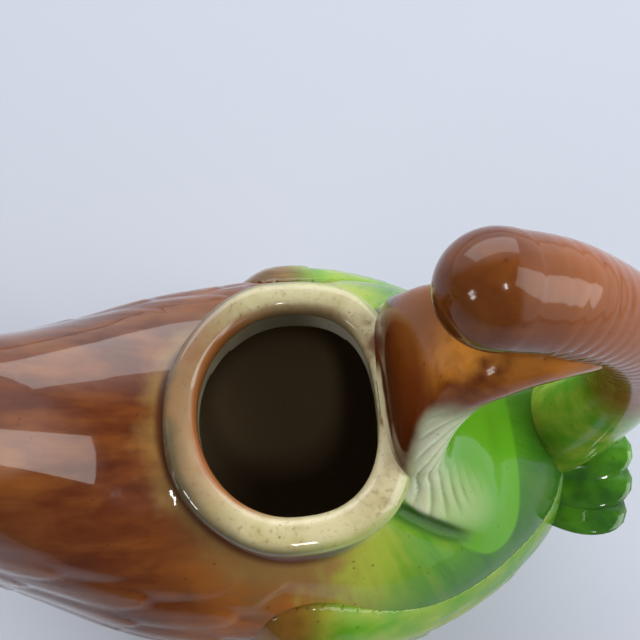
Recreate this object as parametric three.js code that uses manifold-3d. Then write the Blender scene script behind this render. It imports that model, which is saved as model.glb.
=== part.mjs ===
// Duck pitcher in glazed earthenware. The duck is hollow: its back opens into a rimmed mouth, its neck
// and parted bill pour, and a branch-shaped handle stands on a saddle behind the mouth.
// Millimetres, +Z up, table at Z = 0, bill towards -X, handle towards +X.
import * as THREE from 'three';
import { mergeVertices } from 'three/addons/utils/BufferGeometryUtils.js';
import Module from 'manifold-3d';

const wasm = await Module();
wasm.setup();

// Clay
const WALL = 5; // cast wall of the body, neck and head
const JOINT = 0.3; // slip joint between two luted pieces

// Body and neck, tail to head. Each section is a rounded oval square to the spine at x, z, with x measured
// from the centre of the mouth: half its width, its reach to the back (rise) and to the belly (drop).
const BODY = {
  rumpEnd: { x: 89, z: 53.5, half: 8.5, rise: 7, drop: 7 },
  rump: { x: 77, z: 52.5, half: 27, rise: 20.5, drop: 20 },
  loin: { x: 56, z: 53, half: 42.5, rise: 36, drop: 32 },
  back: { x: 30, z: 55, half: 52.5, rise: 48.5, drop: 41 },
  barrel: { x: 3, z: 56.5, half: 55.5, rise: 51, drop: 43 },
  shoulder: { x: -23, z: 62, half: 54, rise: 46.5, drop: 43 },
  breast: { x: -45, z: 72.5, half: 48.5, rise: 40, drop: 41.5 },
  neckRoot: { x: -66, z: 86.5, half: 37.5, rise: 34.5, drop: 40 },
  neck: { x: -83, z: 104, half: 27, rise: 28.5, drop: 31 },
  throat: { x: -95, z: 125, half: 21, rise: 23, drop: 23.5 },
  nape: { x: -101, z: 147, half: 19.8, rise: 21, drop: 22 },
  headCore: { x: -104, z: 160, half: 16, rise: 17, drop: 18 },
};
const FULLNESS = 2.45; // exponent of the body's sections, 2 being an ellipse
const CAVITY_START = 0.09; // share of the spine, from the rump, that is solid clay

// Head, back of the crown to the root of the bill
const HEAD = {
  crownBack: { x: -76, z: 164, half: 6, rise: 6, drop: 6 },
  poll: { x: -83, z: 164.5, half: 17, rise: 17, drop: 16 },
  crown: { x: -96, z: 165, half: 24.5, rise: 24, drop: 23 },
  cheek: { x: -111, z: 164, half: 26, rise: 24, drop: 24 },
  brow: { x: -124, z: 162, half: 22, rise: 20, drop: 19 },
  face: { x: -135, z: 160, half: 15.5, rise: 13, drop: 12 },
  billRoot: { x: -140, z: 159, half: 12, rise: 9.5, drop: 9 },
};
const HEAD_HOLLOW = 0.86; // share of the head's length, from the crown, that is hollow
const NECK_JOINT = 0.765; // share of the spine, from the rump, at the joint of body and head

// Bill
const BILL_LINE = 159; // height of the middle of the pouring gap
const BILL_GAPE = 6.8; // gap between the two halves of the bill
const SPOUT_WIDTH = 17; // width of the pouring hole in the face
// Sections of the two halves: x from the face, z from the edge of the gap.
const UPPER_BILL = {
  root: { x: 6, z: 3, half: 12.5, rise: 9, drop: 3 },
  bridge: { x: -9.3, z: 2.4, half: 12.3, rise: 6, drop: 2.4 },
  blade: { x: -20.2, z: 2, half: 13.5, rise: 4, drop: 2 },
  tip: { x: -27.9, z: 1.6, half: 11, rise: 3, drop: 1.6 },
  nail: { x: -31, z: 1.2, half: 6.5, rise: 2, drop: 1 },
};
const LOWER_BILL = {
  root: { x: 6, z: 0, half: 12, rise: 0.6, drop: 8 },
  blade: { x: -12.4, z: 0, half: 12, rise: 0.6, drop: 6.6 },
  tip: { x: -24.5, z: 0, half: 10, rise: 0.6, drop: 5 },
  nail: { x: -27.5, z: 0, half: 6, rise: 0.6, drop: 3.6 },
};
const TROUGH_WALL = 3; // clay round the trough in the lower bill
const TROUGH_RUN = 8; // the trough's cut beyond both ends of the lower bill
const EYE_RADIUS = 5.2;
const EYE_SETBACK = 6; // eye behind the brow's section
const EYE_RISE = 8.1; // eye over the middle of the head
const EYE_SINK = 1.65; // middle of the bead inside the head's surface

// Mouth and rim, from the centre of the mouth
const MOUTH_FRONT = 23.2; // inner edge on the head's side
const MOUTH_BACK = 21.9; // flatter inner edge under the handle
const MOUTH_SIDE = 26.5; // inner edge on each flank
const BACK_SQUARENESS = 2.6; // exponent of the flatter edge, 2 being an ellipse
const RIM_WIDTH = 8.8;
const RIM_HEIGHT = 7;
const RIM_SQUARENESS = 2.8; // exponent of the rim's section, 2 being an ellipse
const RIM_OVERHANG = 1.4; // rim beyond the collar under it
const COLLAR_RISE = 4.5; // back of the duck to the top of the rim
const RIM_TOP = BODY.barrel.z + BODY.barrel.rise + COLLAR_RISE;
const COLLAR_OUT = RIM_WIDTH - RIM_OVERHANG; // collar's outer face from the mouth's edge
const SHOULDER_OUT = 16; // foot of the shoulder from the mouth's edge
const SHOULDER_DEPTH = 30; // rim's top to the foot of the shoulder

// Saddle of the handle: x from the centre of the mouth, z from the rim's top, half width, reach to the tail
// (rear) and to the mouth (front), and how far its two edges bend forward round the rim. Below the rim it
// spreads like the root of a branch and runs out on the back.
const SADDLE = {
  sunk: { x: 45, z: -38, half: 40, rear: 17, front: 12, bend: 13 },
  spread: { x: 44, z: -26, half: 37, rear: 12.5, front: 11.5, bend: 14 },
  skirt: { x: 42, z: -12, half: 32.5, rear: 9.4, front: 10.5, bend: 14 },
  lip: { x: 33, z: 2, half: 26, rear: 8.6, front: 8.6, bend: 7.5 },
  waist: { x: 34.5, z: 14, half: 22, rear: 8, front: 8, bend: 5 },
  web: { x: 38.5, z: 26, half: 17, rear: 7.6, front: 7.6, bend: 3 },
  strap: { x: 46, z: 34.5, half: 13, rear: 7, front: 7, bend: 1 },
  keel: { x: 57, z: 36.5, half: 10.8, rear: 6.4, front: 6.4, bend: 0 },
  tuck: { x: 66, z: 31, half: 8.6, rear: 5.6, front: 5.6, bend: 0 },
};

// Branch of the handle: x from the centre of the mouth, z from the rim's top, and radius.
const BRANCH = {
  thumb: { x: 37.6, z: 54, radius: 10.8 },
  crook: { x: 52, z: 47.5, radius: 10.6 },
  bow: { x: 70, z: 32, radius: 9.8 },
  fall: { x: 82.5, z: 8, radius: 9.8 },
  foot: { x: 86.5, z: -18, radius: 11 },
  root: { x: 83, z: -46, radius: 13.8 },
  heel: { x: 76, z: -62, radius: 14.5 },
};

// Folded wing: outlines on the duck's flank as x, z, and the thickness of the three tiers over the body.
const PRIMARY_THICKNESS = 2.4;
const COVERT_THICKNESS = 3.6;
const SCAPULAR_THICKNESS = 4.8;
const PRIMARY_OUTLINE = [
  [-16, 66], [-11, 86], [2, 91], [17, 86], [36, 78], [60, 71], [86, 60], [80, 52], [60, 43], [36, 36],
  [10, 34], [-8, 45],
];
const COVERT_OUTLINE = [
  [-13, 66], [-8, 83.5], [2, 88], [17, 83], [36, 75], [53, 69], [48, 64], [51, 58], [43, 54], [42, 48],
  [32, 46], [28, 40], [10, 38], [-5, 48],
];
const SCAPULAR_OUTLINE = [
  [-10, 67], [-5, 81], [3, 84.5], [16, 79.5], [25, 73], [21, 69], [25, 63], [19, 59], [18, 53], [8, 50],
  [-4, 54],
];

// Tail
const TAIL_ROOT = 50; // x where the fan starts inside the rump
const TAIL_TIP = 108;
const TAIL_HEEL = 16; // width of the fan at its root
const TAIL_HALF_ANGLE = 0.66;
const TAIL_THICKNESS = 9;
const TAIL_FEATHERS = 5;
const TAIL_NOTCH = 4; // depth of the notch between two feather tips
const TAIL_HEIGHT = 48;
const TAIL_LIFT = 0.24; // upward tilt in radians

// Oval foot, hollowed below
const FOOT_CENTRE = 4;
const FOOT_LENGTH = 120;
const FOOT_BREADTH = 88;
// Profile from the table up: how far it stands inside the widest line, and its height.
const FOOT_PROFILE = [[2, 0], [0, 3], [1, 8], [4, 15], [6, 22]];
const FOOT_WALL = 10;
const FOOT_HOLLOW = 6;
const FOOT_TAPER = 4; // how far the hollow narrows to its ceiling

// Webbed feet
const TOE_REACH = 38; // heel to the middle toe
const OUTER_TOE_REACH = 34;
const WEB_REACH = 29; // heel to the edge of the web between two toes
const TOE_WIDTH = 8;
const TOE_SPREAD = 0.5; // angle between two toes
const HEEL_WIDTH = 12;
const WEB_THICKNESS = 7;
const WEB_ROUNDING = 1.6;
const FEET_X = -44; // heel
const FEET_SPACING = 42;
const FEET_SPLAY = 0.2;

function solid(geometry) {
  const bare = geometry.clone();
  bare.deleteAttribute('normal');
  bare.deleteAttribute('uv');
  const merged = mergeVertices(bare, 1e-4);
  const mesh = new wasm.Mesh({
    numProp: 3,
    vertProperties: new Float32Array(merged.attributes.position.array),
    triVerts: new Uint32Array(merged.index.array),
  });
  return new wasm.Manifold(mesh);
}

function geometryOf(manifold) {
  const mesh = manifold.getMesh();
  const geometry = new THREE.BufferGeometry();
  geometry.setAttribute('position', new THREE.BufferAttribute(new Float32Array(mesh.vertProperties), 3));
  geometry.setIndex(new THREE.BufferAttribute(new Uint32Array(mesh.triVerts), 1));
  geometry.computeVertexNormals();
  return geometry;
}

// Skins rings of equal count. An open loft is capped at both ends; a closed one runs back to its first ring.
function loft(rings, closed = false) {
  const columns = rings[0].length;
  const points = rings.flat();
  const faces = [];
  const spans = closed ? rings.length : rings.length - 1;
  for (let i = 0; i < spans; i += 1) {
    const here = i * columns;
    const next = ((i + 1) % rings.length) * columns;
    for (let j = 0; j < columns; j += 1) {
      const k = (j + 1) % columns;
      faces.push(here + j, here + k, next + j, here + k, next + k, next + j);
    }
  }
  if (!closed) {
    const last = (rings.length - 1) * columns;
    for (let j = 1; j < columns - 1; j += 1) {
      faces.push(0, j + 1, j, last, last + j, last + j + 1);
    }
  }
  const geometry = new THREE.BufferGeometry().setFromPoints(points);
  geometry.setIndex(faces);
  return geometry;
}

// One coordinate of a rounded oval from the cosine or sine of its angle.
function rounded(share, square) {
  return Math.sign(share) * Math.abs(share) ** (2 / square);
}

// Rounded oval ring square to a spine in the XZ plane. A bend carries its two side edges along the section.
function ovalRing(centre, along, section, columns) {
  const up = new THREE.Vector3(along.z, 0, -along.x);
  const ring = [];
  for (let j = 0; j < columns; j += 1) {
    const angle = (2 * Math.PI * j) / columns;
    const c = Math.cos(angle);
    const reach = rounded(c, section.square) * (c > 0 ? section.rise : section.drop);
    const side = rounded(Math.sin(angle), section.square);
    const point = centre.clone().addScaledVector(up, reach - section.bend * side * side);
    point.y += section.half * side;
    ring.push(point);
  }
  return ring;
}

// Loft through named sections, grown by an offset, between two shares of the spine.
function spineLoft(sections, { rows, columns, grow = 0, from = 0, to = 1, square = 2 }) {
  const list = Object.values(sections);
  const curve = (pick) => new THREE.CatmullRomCurve3(list.map(pick), false, 'catmullrom', 0.5);
  const spine = curve((s) => new THREE.Vector3(s.x, 0, s.z));
  const sizes = curve((s) => new THREE.Vector3(s.half, s.rise, s.drop));
  const bends = curve((s) => new THREE.Vector3(s.bend ?? 0, 0, 0));
  const rings = [];
  for (let i = 0; i <= rows; i += 1) {
    const share = from + ((to - from) * i) / rows;
    const centre = spine.getPoint(share);
    const along = spine.getTangent(share);
    if (i === 0) centre.addScaledVector(along, -grow);
    if (i === rows) centre.addScaledVector(along, grow);
    const size = sizes.getPoint(share);
    const section = {
      half: size.x + grow, rise: size.y + grow, drop: size.z + grow, bend: bends.getPoint(share).x, square,
    };
    rings.push(ovalRing(centre, along, section, columns));
  }
  return solid(loft(rings));
}

// Point on the mouth's outline, moved outwards by a distance.
function mouthPoint(angle, out, z) {
  const c = Math.cos(angle);
  const s = Math.sin(angle);
  if (c <= 0) return new THREE.Vector3((MOUTH_FRONT + out) * c, (MOUTH_SIDE + out) * s, z);
  return new THREE.Vector3(
    (MOUTH_BACK + out) * rounded(c, BACK_SQUARENESS), (MOUTH_SIDE + out) * rounded(s, BACK_SQUARENESS), z,
  );
}

function mouthRing(out, z, columns = 36) {
  return Array.from({ length: columns }, (_, j) => mouthPoint((2 * Math.PI * j) / columns, out, z));
}

function bodyForm(grow = 0) {
  return spineLoft(BODY, { rows: 27, columns: 32, grow, square: FULLNESS });
}

// Whole outer form of the duck without its luted pieces.
function duckForm(grow = 0) {
  const body = bodyForm(grow);
  const head = spineLoft(HEAD, { rows: 12, columns: 24, grow });
  return body.add(head).add(shoulderForm(grow));
}

// Collar under the rim, flaring into the back.
function shoulderForm(grow) {
  const rings = [mouthRing(SHOULDER_OUT + grow, BODY.barrel.z)];
  const steps = 5;
  for (let i = 0; i <= steps; i += 1) {
    const share = i / steps;
    const flare = (1 - share) ** 2;
    const z = RIM_TOP - SHOULDER_DEPTH + (SHOULDER_DEPTH - RIM_HEIGHT * 0.6) * share;
    rings.push(mouthRing(COLLAR_OUT + (SHOULDER_OUT - COLLAR_OUT) * flare + grow, z));
  }
  rings.push(mouthRing(COLLAR_OUT + grow, RIM_TOP - RIM_HEIGHT * 0.6 + grow + 0.1));
  return solid(loft(rings));
}

function rimForm(grow = 0) {
  const steps = 40;
  const around = 12;
  const rings = [];
  for (let i = 0; i < steps; i += 1) {
    const ring = [];
    for (let j = 0; j < around; j += 1) {
      const turn = (2 * Math.PI * j) / around;
      const across = rounded(Math.cos(turn), RIM_SQUARENESS);
      const upwards = rounded(Math.sin(turn), RIM_SQUARENESS);
      const out = RIM_WIDTH / 2 + (RIM_WIDTH / 2 + grow) * across;
      const z = RIM_TOP - RIM_HEIGHT / 2 + (RIM_HEIGHT / 2 + grow) * upwards;
      ring.push(mouthPoint((-2 * Math.PI * i) / steps, out, z));
    }
    rings.push(ring);
  }
  return solid(loft(rings, true));
}

// Branch with a rounded free end.
function branchForm(grow = 0) {
  const { thumb, crook } = BRANCH;
  const end = new THREE.Vector3(thumb.x - crook.x, 0, thumb.z - crook.z).normalize();
  const cap = [0.97, 0.82, 0.5].map((share) => ({
    x: thumb.x + end.x * thumb.radius * share,
    z: thumb.z + end.z * thumb.radius * share,
    radius: thumb.radius * Math.sqrt(1 - share * share),
  }));
  const sections = [...cap, ...Object.values(BRANCH)].map(({ x, z, radius }) => (
    { x, z: z + RIM_TOP, half: radius, rise: radius, drop: radius }
  ));
  return spineLoft(sections, { rows: 26, columns: 16, grow });
}

function saddleForm() {
  const sections = Object.values(SADDLE).map(({ x, z, half, rear, front, bend }) => (
    { x, z: z + RIM_TOP, half, rise: rear, drop: front, bend }
  ));
  return spineLoft(sections, { rows: 16, columns: 24 });
}

function hollow() {
  const body = spineLoft(BODY, { rows: 18, columns: 22, grow: -WALL, from: CAVITY_START, square: FULLNESS });
  const head = spineLoft(HEAD, { rows: 6, columns: 18, grow: -WALL, from: 0.12, to: HEAD_HOLLOW });
  const gap = { z: BILL_LINE, half: SPOUT_WIDTH / 2, rise: BILL_GAPE / 2, drop: BILL_GAPE / 2 };
  const spout = spineLoft(
    [{ ...gap, x: HEAD.cheek.x }, { ...gap, x: HEAD.billRoot.x - 2 * WALL }],
    { rows: 1, columns: 24 },
  );
  const mouth = solid(loft([mouthRing(0.5, BODY.barrel.z), mouthRing(0.5, RIM_TOP + WALL)]));
  return body.add(head).add(spout).add(mouth);
}

// Half space above the neck's joint, moved along the spine.
function aboveNeck(move) {
  const list = Object.values(BODY);
  const spine = new THREE.CatmullRomCurve3(
    list.map((s) => new THREE.Vector3(s.x, 0, s.z)), false, 'catmullrom', 0.5,
  );
  const size = 2 * RIM_TOP;
  const along = spine.getTangent(NECK_JOINT);
  const centre = spine.getPoint(NECK_JOINT).addScaledVector(along, size / 2 + move);
  const geometry = new THREE.BoxGeometry(size, size, size);
  geometry.applyQuaternion(new THREE.Quaternion().setFromUnitVectors(new THREE.Vector3(0, 0, 1), along));
  geometry.translate(centre.x, centre.y, centre.z);
  return solid(geometry);
}

// Bill sections carried to the face, beside the pouring gap.
function billSections(sections, z) {
  return Object.values(sections).map((s) => ({ ...s, x: HEAD.face.x + s.x, z: z + s.z }));
}

function upperBillForm() {
  return spineLoft(billSections(UPPER_BILL, BILL_LINE + BILL_GAPE / 2), { rows: 12, columns: 24 });
}

function lowerBillForm() {
  const outside = billSections(LOWER_BILL, BILL_LINE - BILL_GAPE / 2);
  const inside = outside.map((s) => (
    { ...s, half: s.half - TROUGH_WALL, rise: BILL_GAPE, drop: s.drop - TROUGH_WALL }
  ));
  inside[0].x += TROUGH_RUN;
  inside[inside.length - 1].x -= TROUGH_RUN;
  const trough = spineLoft(inside, { rows: 8, columns: 20 });
  return spineLoft(outside, { rows: 10, columns: 24 }).subtract(trough);
}

// Bead set into the head's surface between the cheek and the brow.
function eyeForm(side) {
  const { cheek, brow } = HEAD;
  const share = EYE_SETBACK / (cheek.x - brow.x);
  const half = THREE.MathUtils.lerp(brow.half, cheek.half, share);
  const rise = THREE.MathUtils.lerp(brow.rise, cheek.rise, share);
  const out = half * Math.sqrt(1 - (EYE_RISE / rise) ** 2) - EYE_SINK;
  const z = THREE.MathUtils.lerp(brow.z, cheek.z, share) + EYE_RISE;
  const bead = new THREE.SphereGeometry(EYE_RADIUS, 16, 12);
  bead.translate(brow.x + EYE_SETBACK, side * out, z);
  return solid(bead);
}

// A flank patch of the body's own surface, grown outwards inside an outline drawn from the side.
function flankPatch(outline, thickness, side) {
  const corners = outline.concat([outline[0]]).map(([x, z]) => new THREE.Vector2(x, z));
  const shape = new THREE.Shape(new THREE.SplineCurve(corners).getPoints(36));
  const depth = 2 * BODY.barrel.half;
  const column = new THREE.ExtrudeGeometry(shape, { depth, bevelEnabled: false });
  column.rotateX(Math.PI / 2);
  if (side > 0) column.translate(0, depth, 0);
  return bodyForm(thickness).intersect(solid(column));
}

// Three tiers of feathers, the shoulder's the thickest.
function wingForm(side) {
  const primaries = flankPatch(PRIMARY_OUTLINE, PRIMARY_THICKNESS, side);
  const coverts = flankPatch(COVERT_OUTLINE, COVERT_THICKNESS, side);
  const scapulars = flankPatch(SCAPULAR_OUTLINE, SCAPULAR_THICKNESS, side);
  return primaries.add(coverts).add(scapulars);
}

function tailForm(grow = 0) {
  const reach = TAIL_TIP - TAIL_ROOT;
  const tips = [];
  const steps = TAIL_FEATHERS * 6;
  for (let i = 0; i <= steps; i += 1) {
    const share = i / steps;
    const angle = TAIL_HALF_ANGLE * (2 * share - 1);
    const bulge = Math.abs(Math.sin(Math.PI * TAIL_FEATHERS * share));
    const radius = reach - TAIL_NOTCH + TAIL_NOTCH * Math.sqrt(bulge);
    tips.push(new THREE.Vector2(radius * Math.cos(angle), radius * Math.sin(angle)));
  }
  const heel = TAIL_HEEL / 2;
  const shape = new THREE.Shape([new THREE.Vector2(0, heel), new THREE.Vector2(0, -heel), ...tips]);
  const bevel = TAIL_THICKNESS * 0.28;
  const fan = new THREE.ExtrudeGeometry(shape, {
    depth: TAIL_THICKNESS + 2 * grow - 2 * bevel,
    bevelThickness: bevel,
    bevelSize: bevel,
    bevelOffset: grow - bevel,
    bevelSegments: 2,
  });
  fan.translate(0, 0, -grow);
  fan.rotateY(-TAIL_LIFT);
  fan.translate(TAIL_ROOT, 0, TAIL_HEIGHT - TAIL_THICKNESS / 2);
  return solid(fan);
}

function footForm(grow = 0) {
  const length = FOOT_LENGTH / 2;
  const breadth = FOOT_BREADTH / 2;
  const sections = FOOT_PROFILE.map(([inset, z]) => (
    { x: FOOT_CENTRE, z, half: breadth - inset, rise: length - inset, drop: length - inset }
  ));
  return spineLoft(sections, { rows: 8, columns: 36, grow });
}

function footHollow() {
  const length = FOOT_LENGTH / 2 - FOOT_WALL;
  const breadth = FOOT_BREADTH / 2 - FOOT_WALL;
  const reach = length - FOOT_TAPER;
  return spineLoft([
    { x: FOOT_CENTRE, z: -FOOT_WALL, half: breadth, rise: length, drop: length },
    { x: FOOT_CENTRE, z: FOOT_HOLLOW, half: breadth - FOOT_TAPER, rise: reach, drop: reach },
  ], { rows: 1, columns: 32 });
}

// Three toes joined by a web, flat on the table.
function webbedFootForm(side) {
  const heel = HEEL_WIDTH / 2;
  const outline = [new THREE.Vector2(heel, heel), new THREE.Vector2(heel, -heel)];
  const place = (reach, angle, across) => (
    new THREE.Vector2(-reach, across).rotateAround(new THREE.Vector2(), angle)
  );
  for (let i = -1; i <= 1; i += 1) {
    const reach = i === 0 ? TOE_REACH : OUTER_TOE_REACH;
    const angle = -i * TOE_SPREAD;
    for (const across of [-0.5, -0.25, 0.25, 0.5]) {
      const short = Math.abs(across) * TOE_WIDTH;
      outline.push(place(reach - short, angle, across * TOE_WIDTH));
    }
    if (i < 1) outline.push(place(WEB_REACH, angle - TOE_SPREAD / 2, 0));
  }
  const foot = new THREE.ExtrudeGeometry(new THREE.Shape(outline.reverse()), {
    depth: WEB_THICKNESS - 2 * WEB_ROUNDING,
    bevelThickness: WEB_ROUNDING,
    bevelSize: WEB_ROUNDING,
    bevelOffset: -WEB_ROUNDING,
    bevelSegments: 2,
  });
  foot.rotateZ(-side * FEET_SPLAY);
  foot.translate(FEET_X, (side * FEET_SPACING) / 2, WEB_ROUNDING);
  return solid(foot);
}

const COLOURS = {
  chestnut: { color: 0x7a4420, roughness: 0.18 },
  brown: { color: 0x5d2f16, roughness: 0.18 },
  green: { color: 0x5b7a2c, roughness: 0.18 },
  cream: { color: 0xd2c49a, roughness: 0.2 },
  ochre: { color: 0xb98a35, roughness: 0.2 },
  black: { color: 0x14100c, roughness: 0.12 },
};

function piece(name, manifold, colour) {
  const material = new THREE.MeshStandardMaterial({ ...COLOURS[colour], metalness: 0 });
  const mesh = new THREE.Mesh(geometryOf(manifold), material);
  mesh.name = name;
  return mesh;
}

const seat = duckForm(JOINT);
const rimSeat = rimForm(JOINT);
const branchSeat = branchForm(JOINT);
const footSeat = footForm(JOINT);
const tailSeat = tailForm(JOINT);
const wingSeat = seat.add(branchSeat).add(tailSeat);
const shell = duckForm().subtract(hollow()).subtract(rimSeat);
const saddle = saddleForm().subtract(seat).subtract(rimSeat).subtract(branchSeat);

const duck = new THREE.Group();
duck.name = 'duck_pitcher';
duck.add(piece('body_shell', shell.subtract(aboveNeck(0)), 'chestnut'));
duck.add(piece('head_shell', shell.intersect(aboveNeck(JOINT)), 'chestnut'));
duck.add(piece('upper_bill', upperBillForm().subtract(seat), 'ochre'));
duck.add(piece('lower_bill', lowerBillForm().subtract(seat), 'ochre'));
duck.add(piece('left_eye', eyeForm(-1).subtract(seat), 'black'));
duck.add(piece('right_eye', eyeForm(1).subtract(seat), 'black'));
duck.add(piece('mouth_rim', rimForm(), 'cream'));
duck.add(piece('handle_saddle', saddle, 'brown'));
duck.add(piece('handle_loop', branchForm().subtract(seat), 'brown'));
duck.add(piece('left_wing', wingForm(-1).subtract(wingSeat), 'green'));
duck.add(piece('right_wing', wingForm(1).subtract(wingSeat), 'green'));
duck.add(piece('tail_feathers', tailForm().subtract(seat).subtract(branchSeat), 'green'));
duck.add(piece('oval_foot', footForm().subtract(footHollow()).subtract(seat), 'green'));
duck.add(piece('left_webbed_foot', webbedFootForm(-1).subtract(footSeat), 'ochre'));
duck.add(piece('right_webbed_foot', webbedFootForm(1).subtract(footSeat), 'ochre'));

// The frame's origin is under the middle of the whole pitcher.
const extent = new THREE.Box3().setFromObject(duck);
for (const mesh of duck.children) mesh.position.x = -(extent.min.x + extent.max.x) / 2;

export default duck;
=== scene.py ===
"""Glazed earthenware duck pitcher, built over its CAD frame. Metres, +Z up, bill towards -X."""

import math

import bmesh
import bpy
import numpy as np
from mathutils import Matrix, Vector
from mathutils.bvhtree import BVHTree


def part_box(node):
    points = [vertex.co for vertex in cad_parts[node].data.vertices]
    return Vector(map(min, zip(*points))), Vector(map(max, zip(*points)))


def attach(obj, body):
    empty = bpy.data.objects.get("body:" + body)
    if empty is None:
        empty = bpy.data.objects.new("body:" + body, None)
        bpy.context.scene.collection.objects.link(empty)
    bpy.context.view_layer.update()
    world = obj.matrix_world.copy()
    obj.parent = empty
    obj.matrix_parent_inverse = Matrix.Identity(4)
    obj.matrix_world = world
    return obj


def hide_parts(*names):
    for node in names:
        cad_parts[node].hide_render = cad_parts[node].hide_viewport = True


bl_info = {
    "name": "Duck pitcher",
    "version": (1, 0, 0),
    "blender": (4, 5, 0),
    "location": "3D View > Sidebar > Duck pitcher",
    "description": "Builds a glazed earthenware duck pitcher over its CAD frame",
    "category": "Add Mesh",
}

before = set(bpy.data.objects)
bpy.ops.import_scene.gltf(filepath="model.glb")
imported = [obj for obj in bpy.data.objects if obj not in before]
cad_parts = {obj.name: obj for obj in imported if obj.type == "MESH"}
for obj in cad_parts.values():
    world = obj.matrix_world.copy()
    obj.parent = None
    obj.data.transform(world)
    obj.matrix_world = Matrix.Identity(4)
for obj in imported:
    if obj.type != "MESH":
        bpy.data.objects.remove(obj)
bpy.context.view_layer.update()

# Place of the mouth: its centre along X and the height of the rim's top, from the CAD rim.
RIM_LOW, RIM_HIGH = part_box("mouth_rim")
MOUTH_FRONT, MOUTH_BACK, MOUTH_SIDE = 0.0232, 0.0219, 0.0265
RIM_WIDTH, RIM_HEIGHT = 0.0088, 0.007
RIM_ROUND = 0.714  # power of the rolled section, 1 for an ellipse
MOUTH_X = RIM_LOW[0] + MOUTH_FRONT + RIM_WIDTH
RIM_TOP = RIM_HIGH[2]
SINK = 0.0012  # how far a luted piece runs into its neighbour, so that no joint shows

# Sections of the body, tail to head, in millimetres: x from the mouth, z from the table, half width,
# reach to the back and reach to the belly.
BODY = np.array([
    (89, 53.5, 8.5, 7, 7),
    (77, 52.5, 27, 20.5, 20),
    (56, 53, 42.5, 36, 32),
    (30, 55, 52.5, 48.5, 41),
    (3, 56.5, 55.5, 51, 43),
    (-23, 62, 54, 46.5, 43),
    (-45, 72.5, 48.5, 40, 41.5),
    (-66, 86.5, 37.5, 34.5, 40),
    (-83, 104, 27, 28.5, 31),
    (-95, 125, 21, 23, 23.5),
    (-101, 147, 19.8, 21, 22),
    (-104, 160, 16, 17, 18),
]) / 1000
HEAD = np.array([
    (-76, 164, 6, 6, 6),
    (-83, 164.5, 17, 17, 16),
    (-96, 165, 24.5, 24, 23),
    (-111, 164, 26, 24, 24),
    (-124, 162, 22, 20, 19),
    (-135, 160, 15.5, 13, 12),
    (-140, 159, 12, 9.5, 9),
]) / 1000
SPOUT = np.array([(-111, 159, 8.5, 3.4, 3.4), (-150, 159, 8.5, 3.4, 3.4)]) / 1000
UPPER_BILL = np.array([
    (-128, 165.4, 12.5, 9, 3),
    (-144.3, 164.8, 12.3, 6, 2.4),
    (-155.2, 164.4, 13.5, 4, 2),
    (-162.9, 164, 11, 3, 1.6),
    (-166, 163.6, 6.5, 2, 1),
]) / 1000
LOWER_BILL = np.array([
    (-129, 155.6, 12, 0.6, 8),
    (-147.4, 155.6, 12, 0.6, 6.6),
    (-159.5, 155.6, 10, 0.6, 5),
    (-162.5, 155.6, 6, 0.6, 3.6),
]) / 1000
TROUGH = np.array([
    (-121, 155.6, 9, 6.8, 5),
    (-147.4, 155.6, 9, 6.8, 3.6),
    (-159.5, 155.6, 7, 6.8, 2),
    (-170.5, 155.6, 3, 6.8, 0.6),
]) / 1000
FULLNESS, SADDLE_FULLNESS, MOUTH_FULLNESS = 2.45, 2.6, 2.6  # power of each rounded oval
WALL = 0.005
# Saddle: x from the mouth, z from the rim's top, half width, reach to the tail and to the mouth, and the
# forward bend of its edges.
SADDLE = np.array([
    (48, -38, 36, 15, 12, 0),
    (47, -28, 36, 11.5, 11, 0),
    (45, -20, 34, 9.6, 10.5, 1),
    (42, -15, 31, 9, 10, 3),
    (39, -11, 28.5, 8.6, 9.4, 4),
    (35.5, -5, 25.4, 8, 9, 4),
    (32.2, 2, 23.4, 7.4, 8.2, 2.5),
    (33.6, 14, 18.6, 7.2, 7.8, 1.5),
    (38.5, 26, 14.8, 7.2, 7.4, 1),
    (46, 34.5, 12.6, 7, 7, 0.5),
    (57, 36.5, 10.8, 6.4, 6.4, 0),
    (66, 31, 8.6, 5.6, 5.6, 0),
]) / 1000
SADDLE_SHIFT = 0.0028  # the saddle's foot stands this far towards the far flank
# Branch of the handle: x from the mouth, z from the rim's top and radius.
BRANCH = np.array([
    (37.6, 54, 10.8),
    (52, 47.5, 10.6),
    (70, 32, 9.8),
    (82.5, 8, 9.8),
    (86.5, -18, 11),
    (83, -46, 13.8),
    (76, -62, 14.5),
]) / 1000
WING_OUTLINE = np.array([
    (-16, 66), (-11, 86), (2, 91), (17, 86), (36, 78), (60, 71), (86, 60), (80, 52), (60, 43), (36, 36), (10, 34),
    (-8, 45),
]) / 1000
WING_CELL = 0.0008  # mesh size
WING_EDGE, WING_THICK, WING_SWELL = 0.011, 0.0024, 0.0020  # rounded edge, thickness, and what the front adds to it
WING_SINK = 0.002  # how far a wing runs into the body
WING_ROWS = (-24, -10, 1, 13, 27, 46, 100)  # x in millimetres where each row of wing feathers begins
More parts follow.
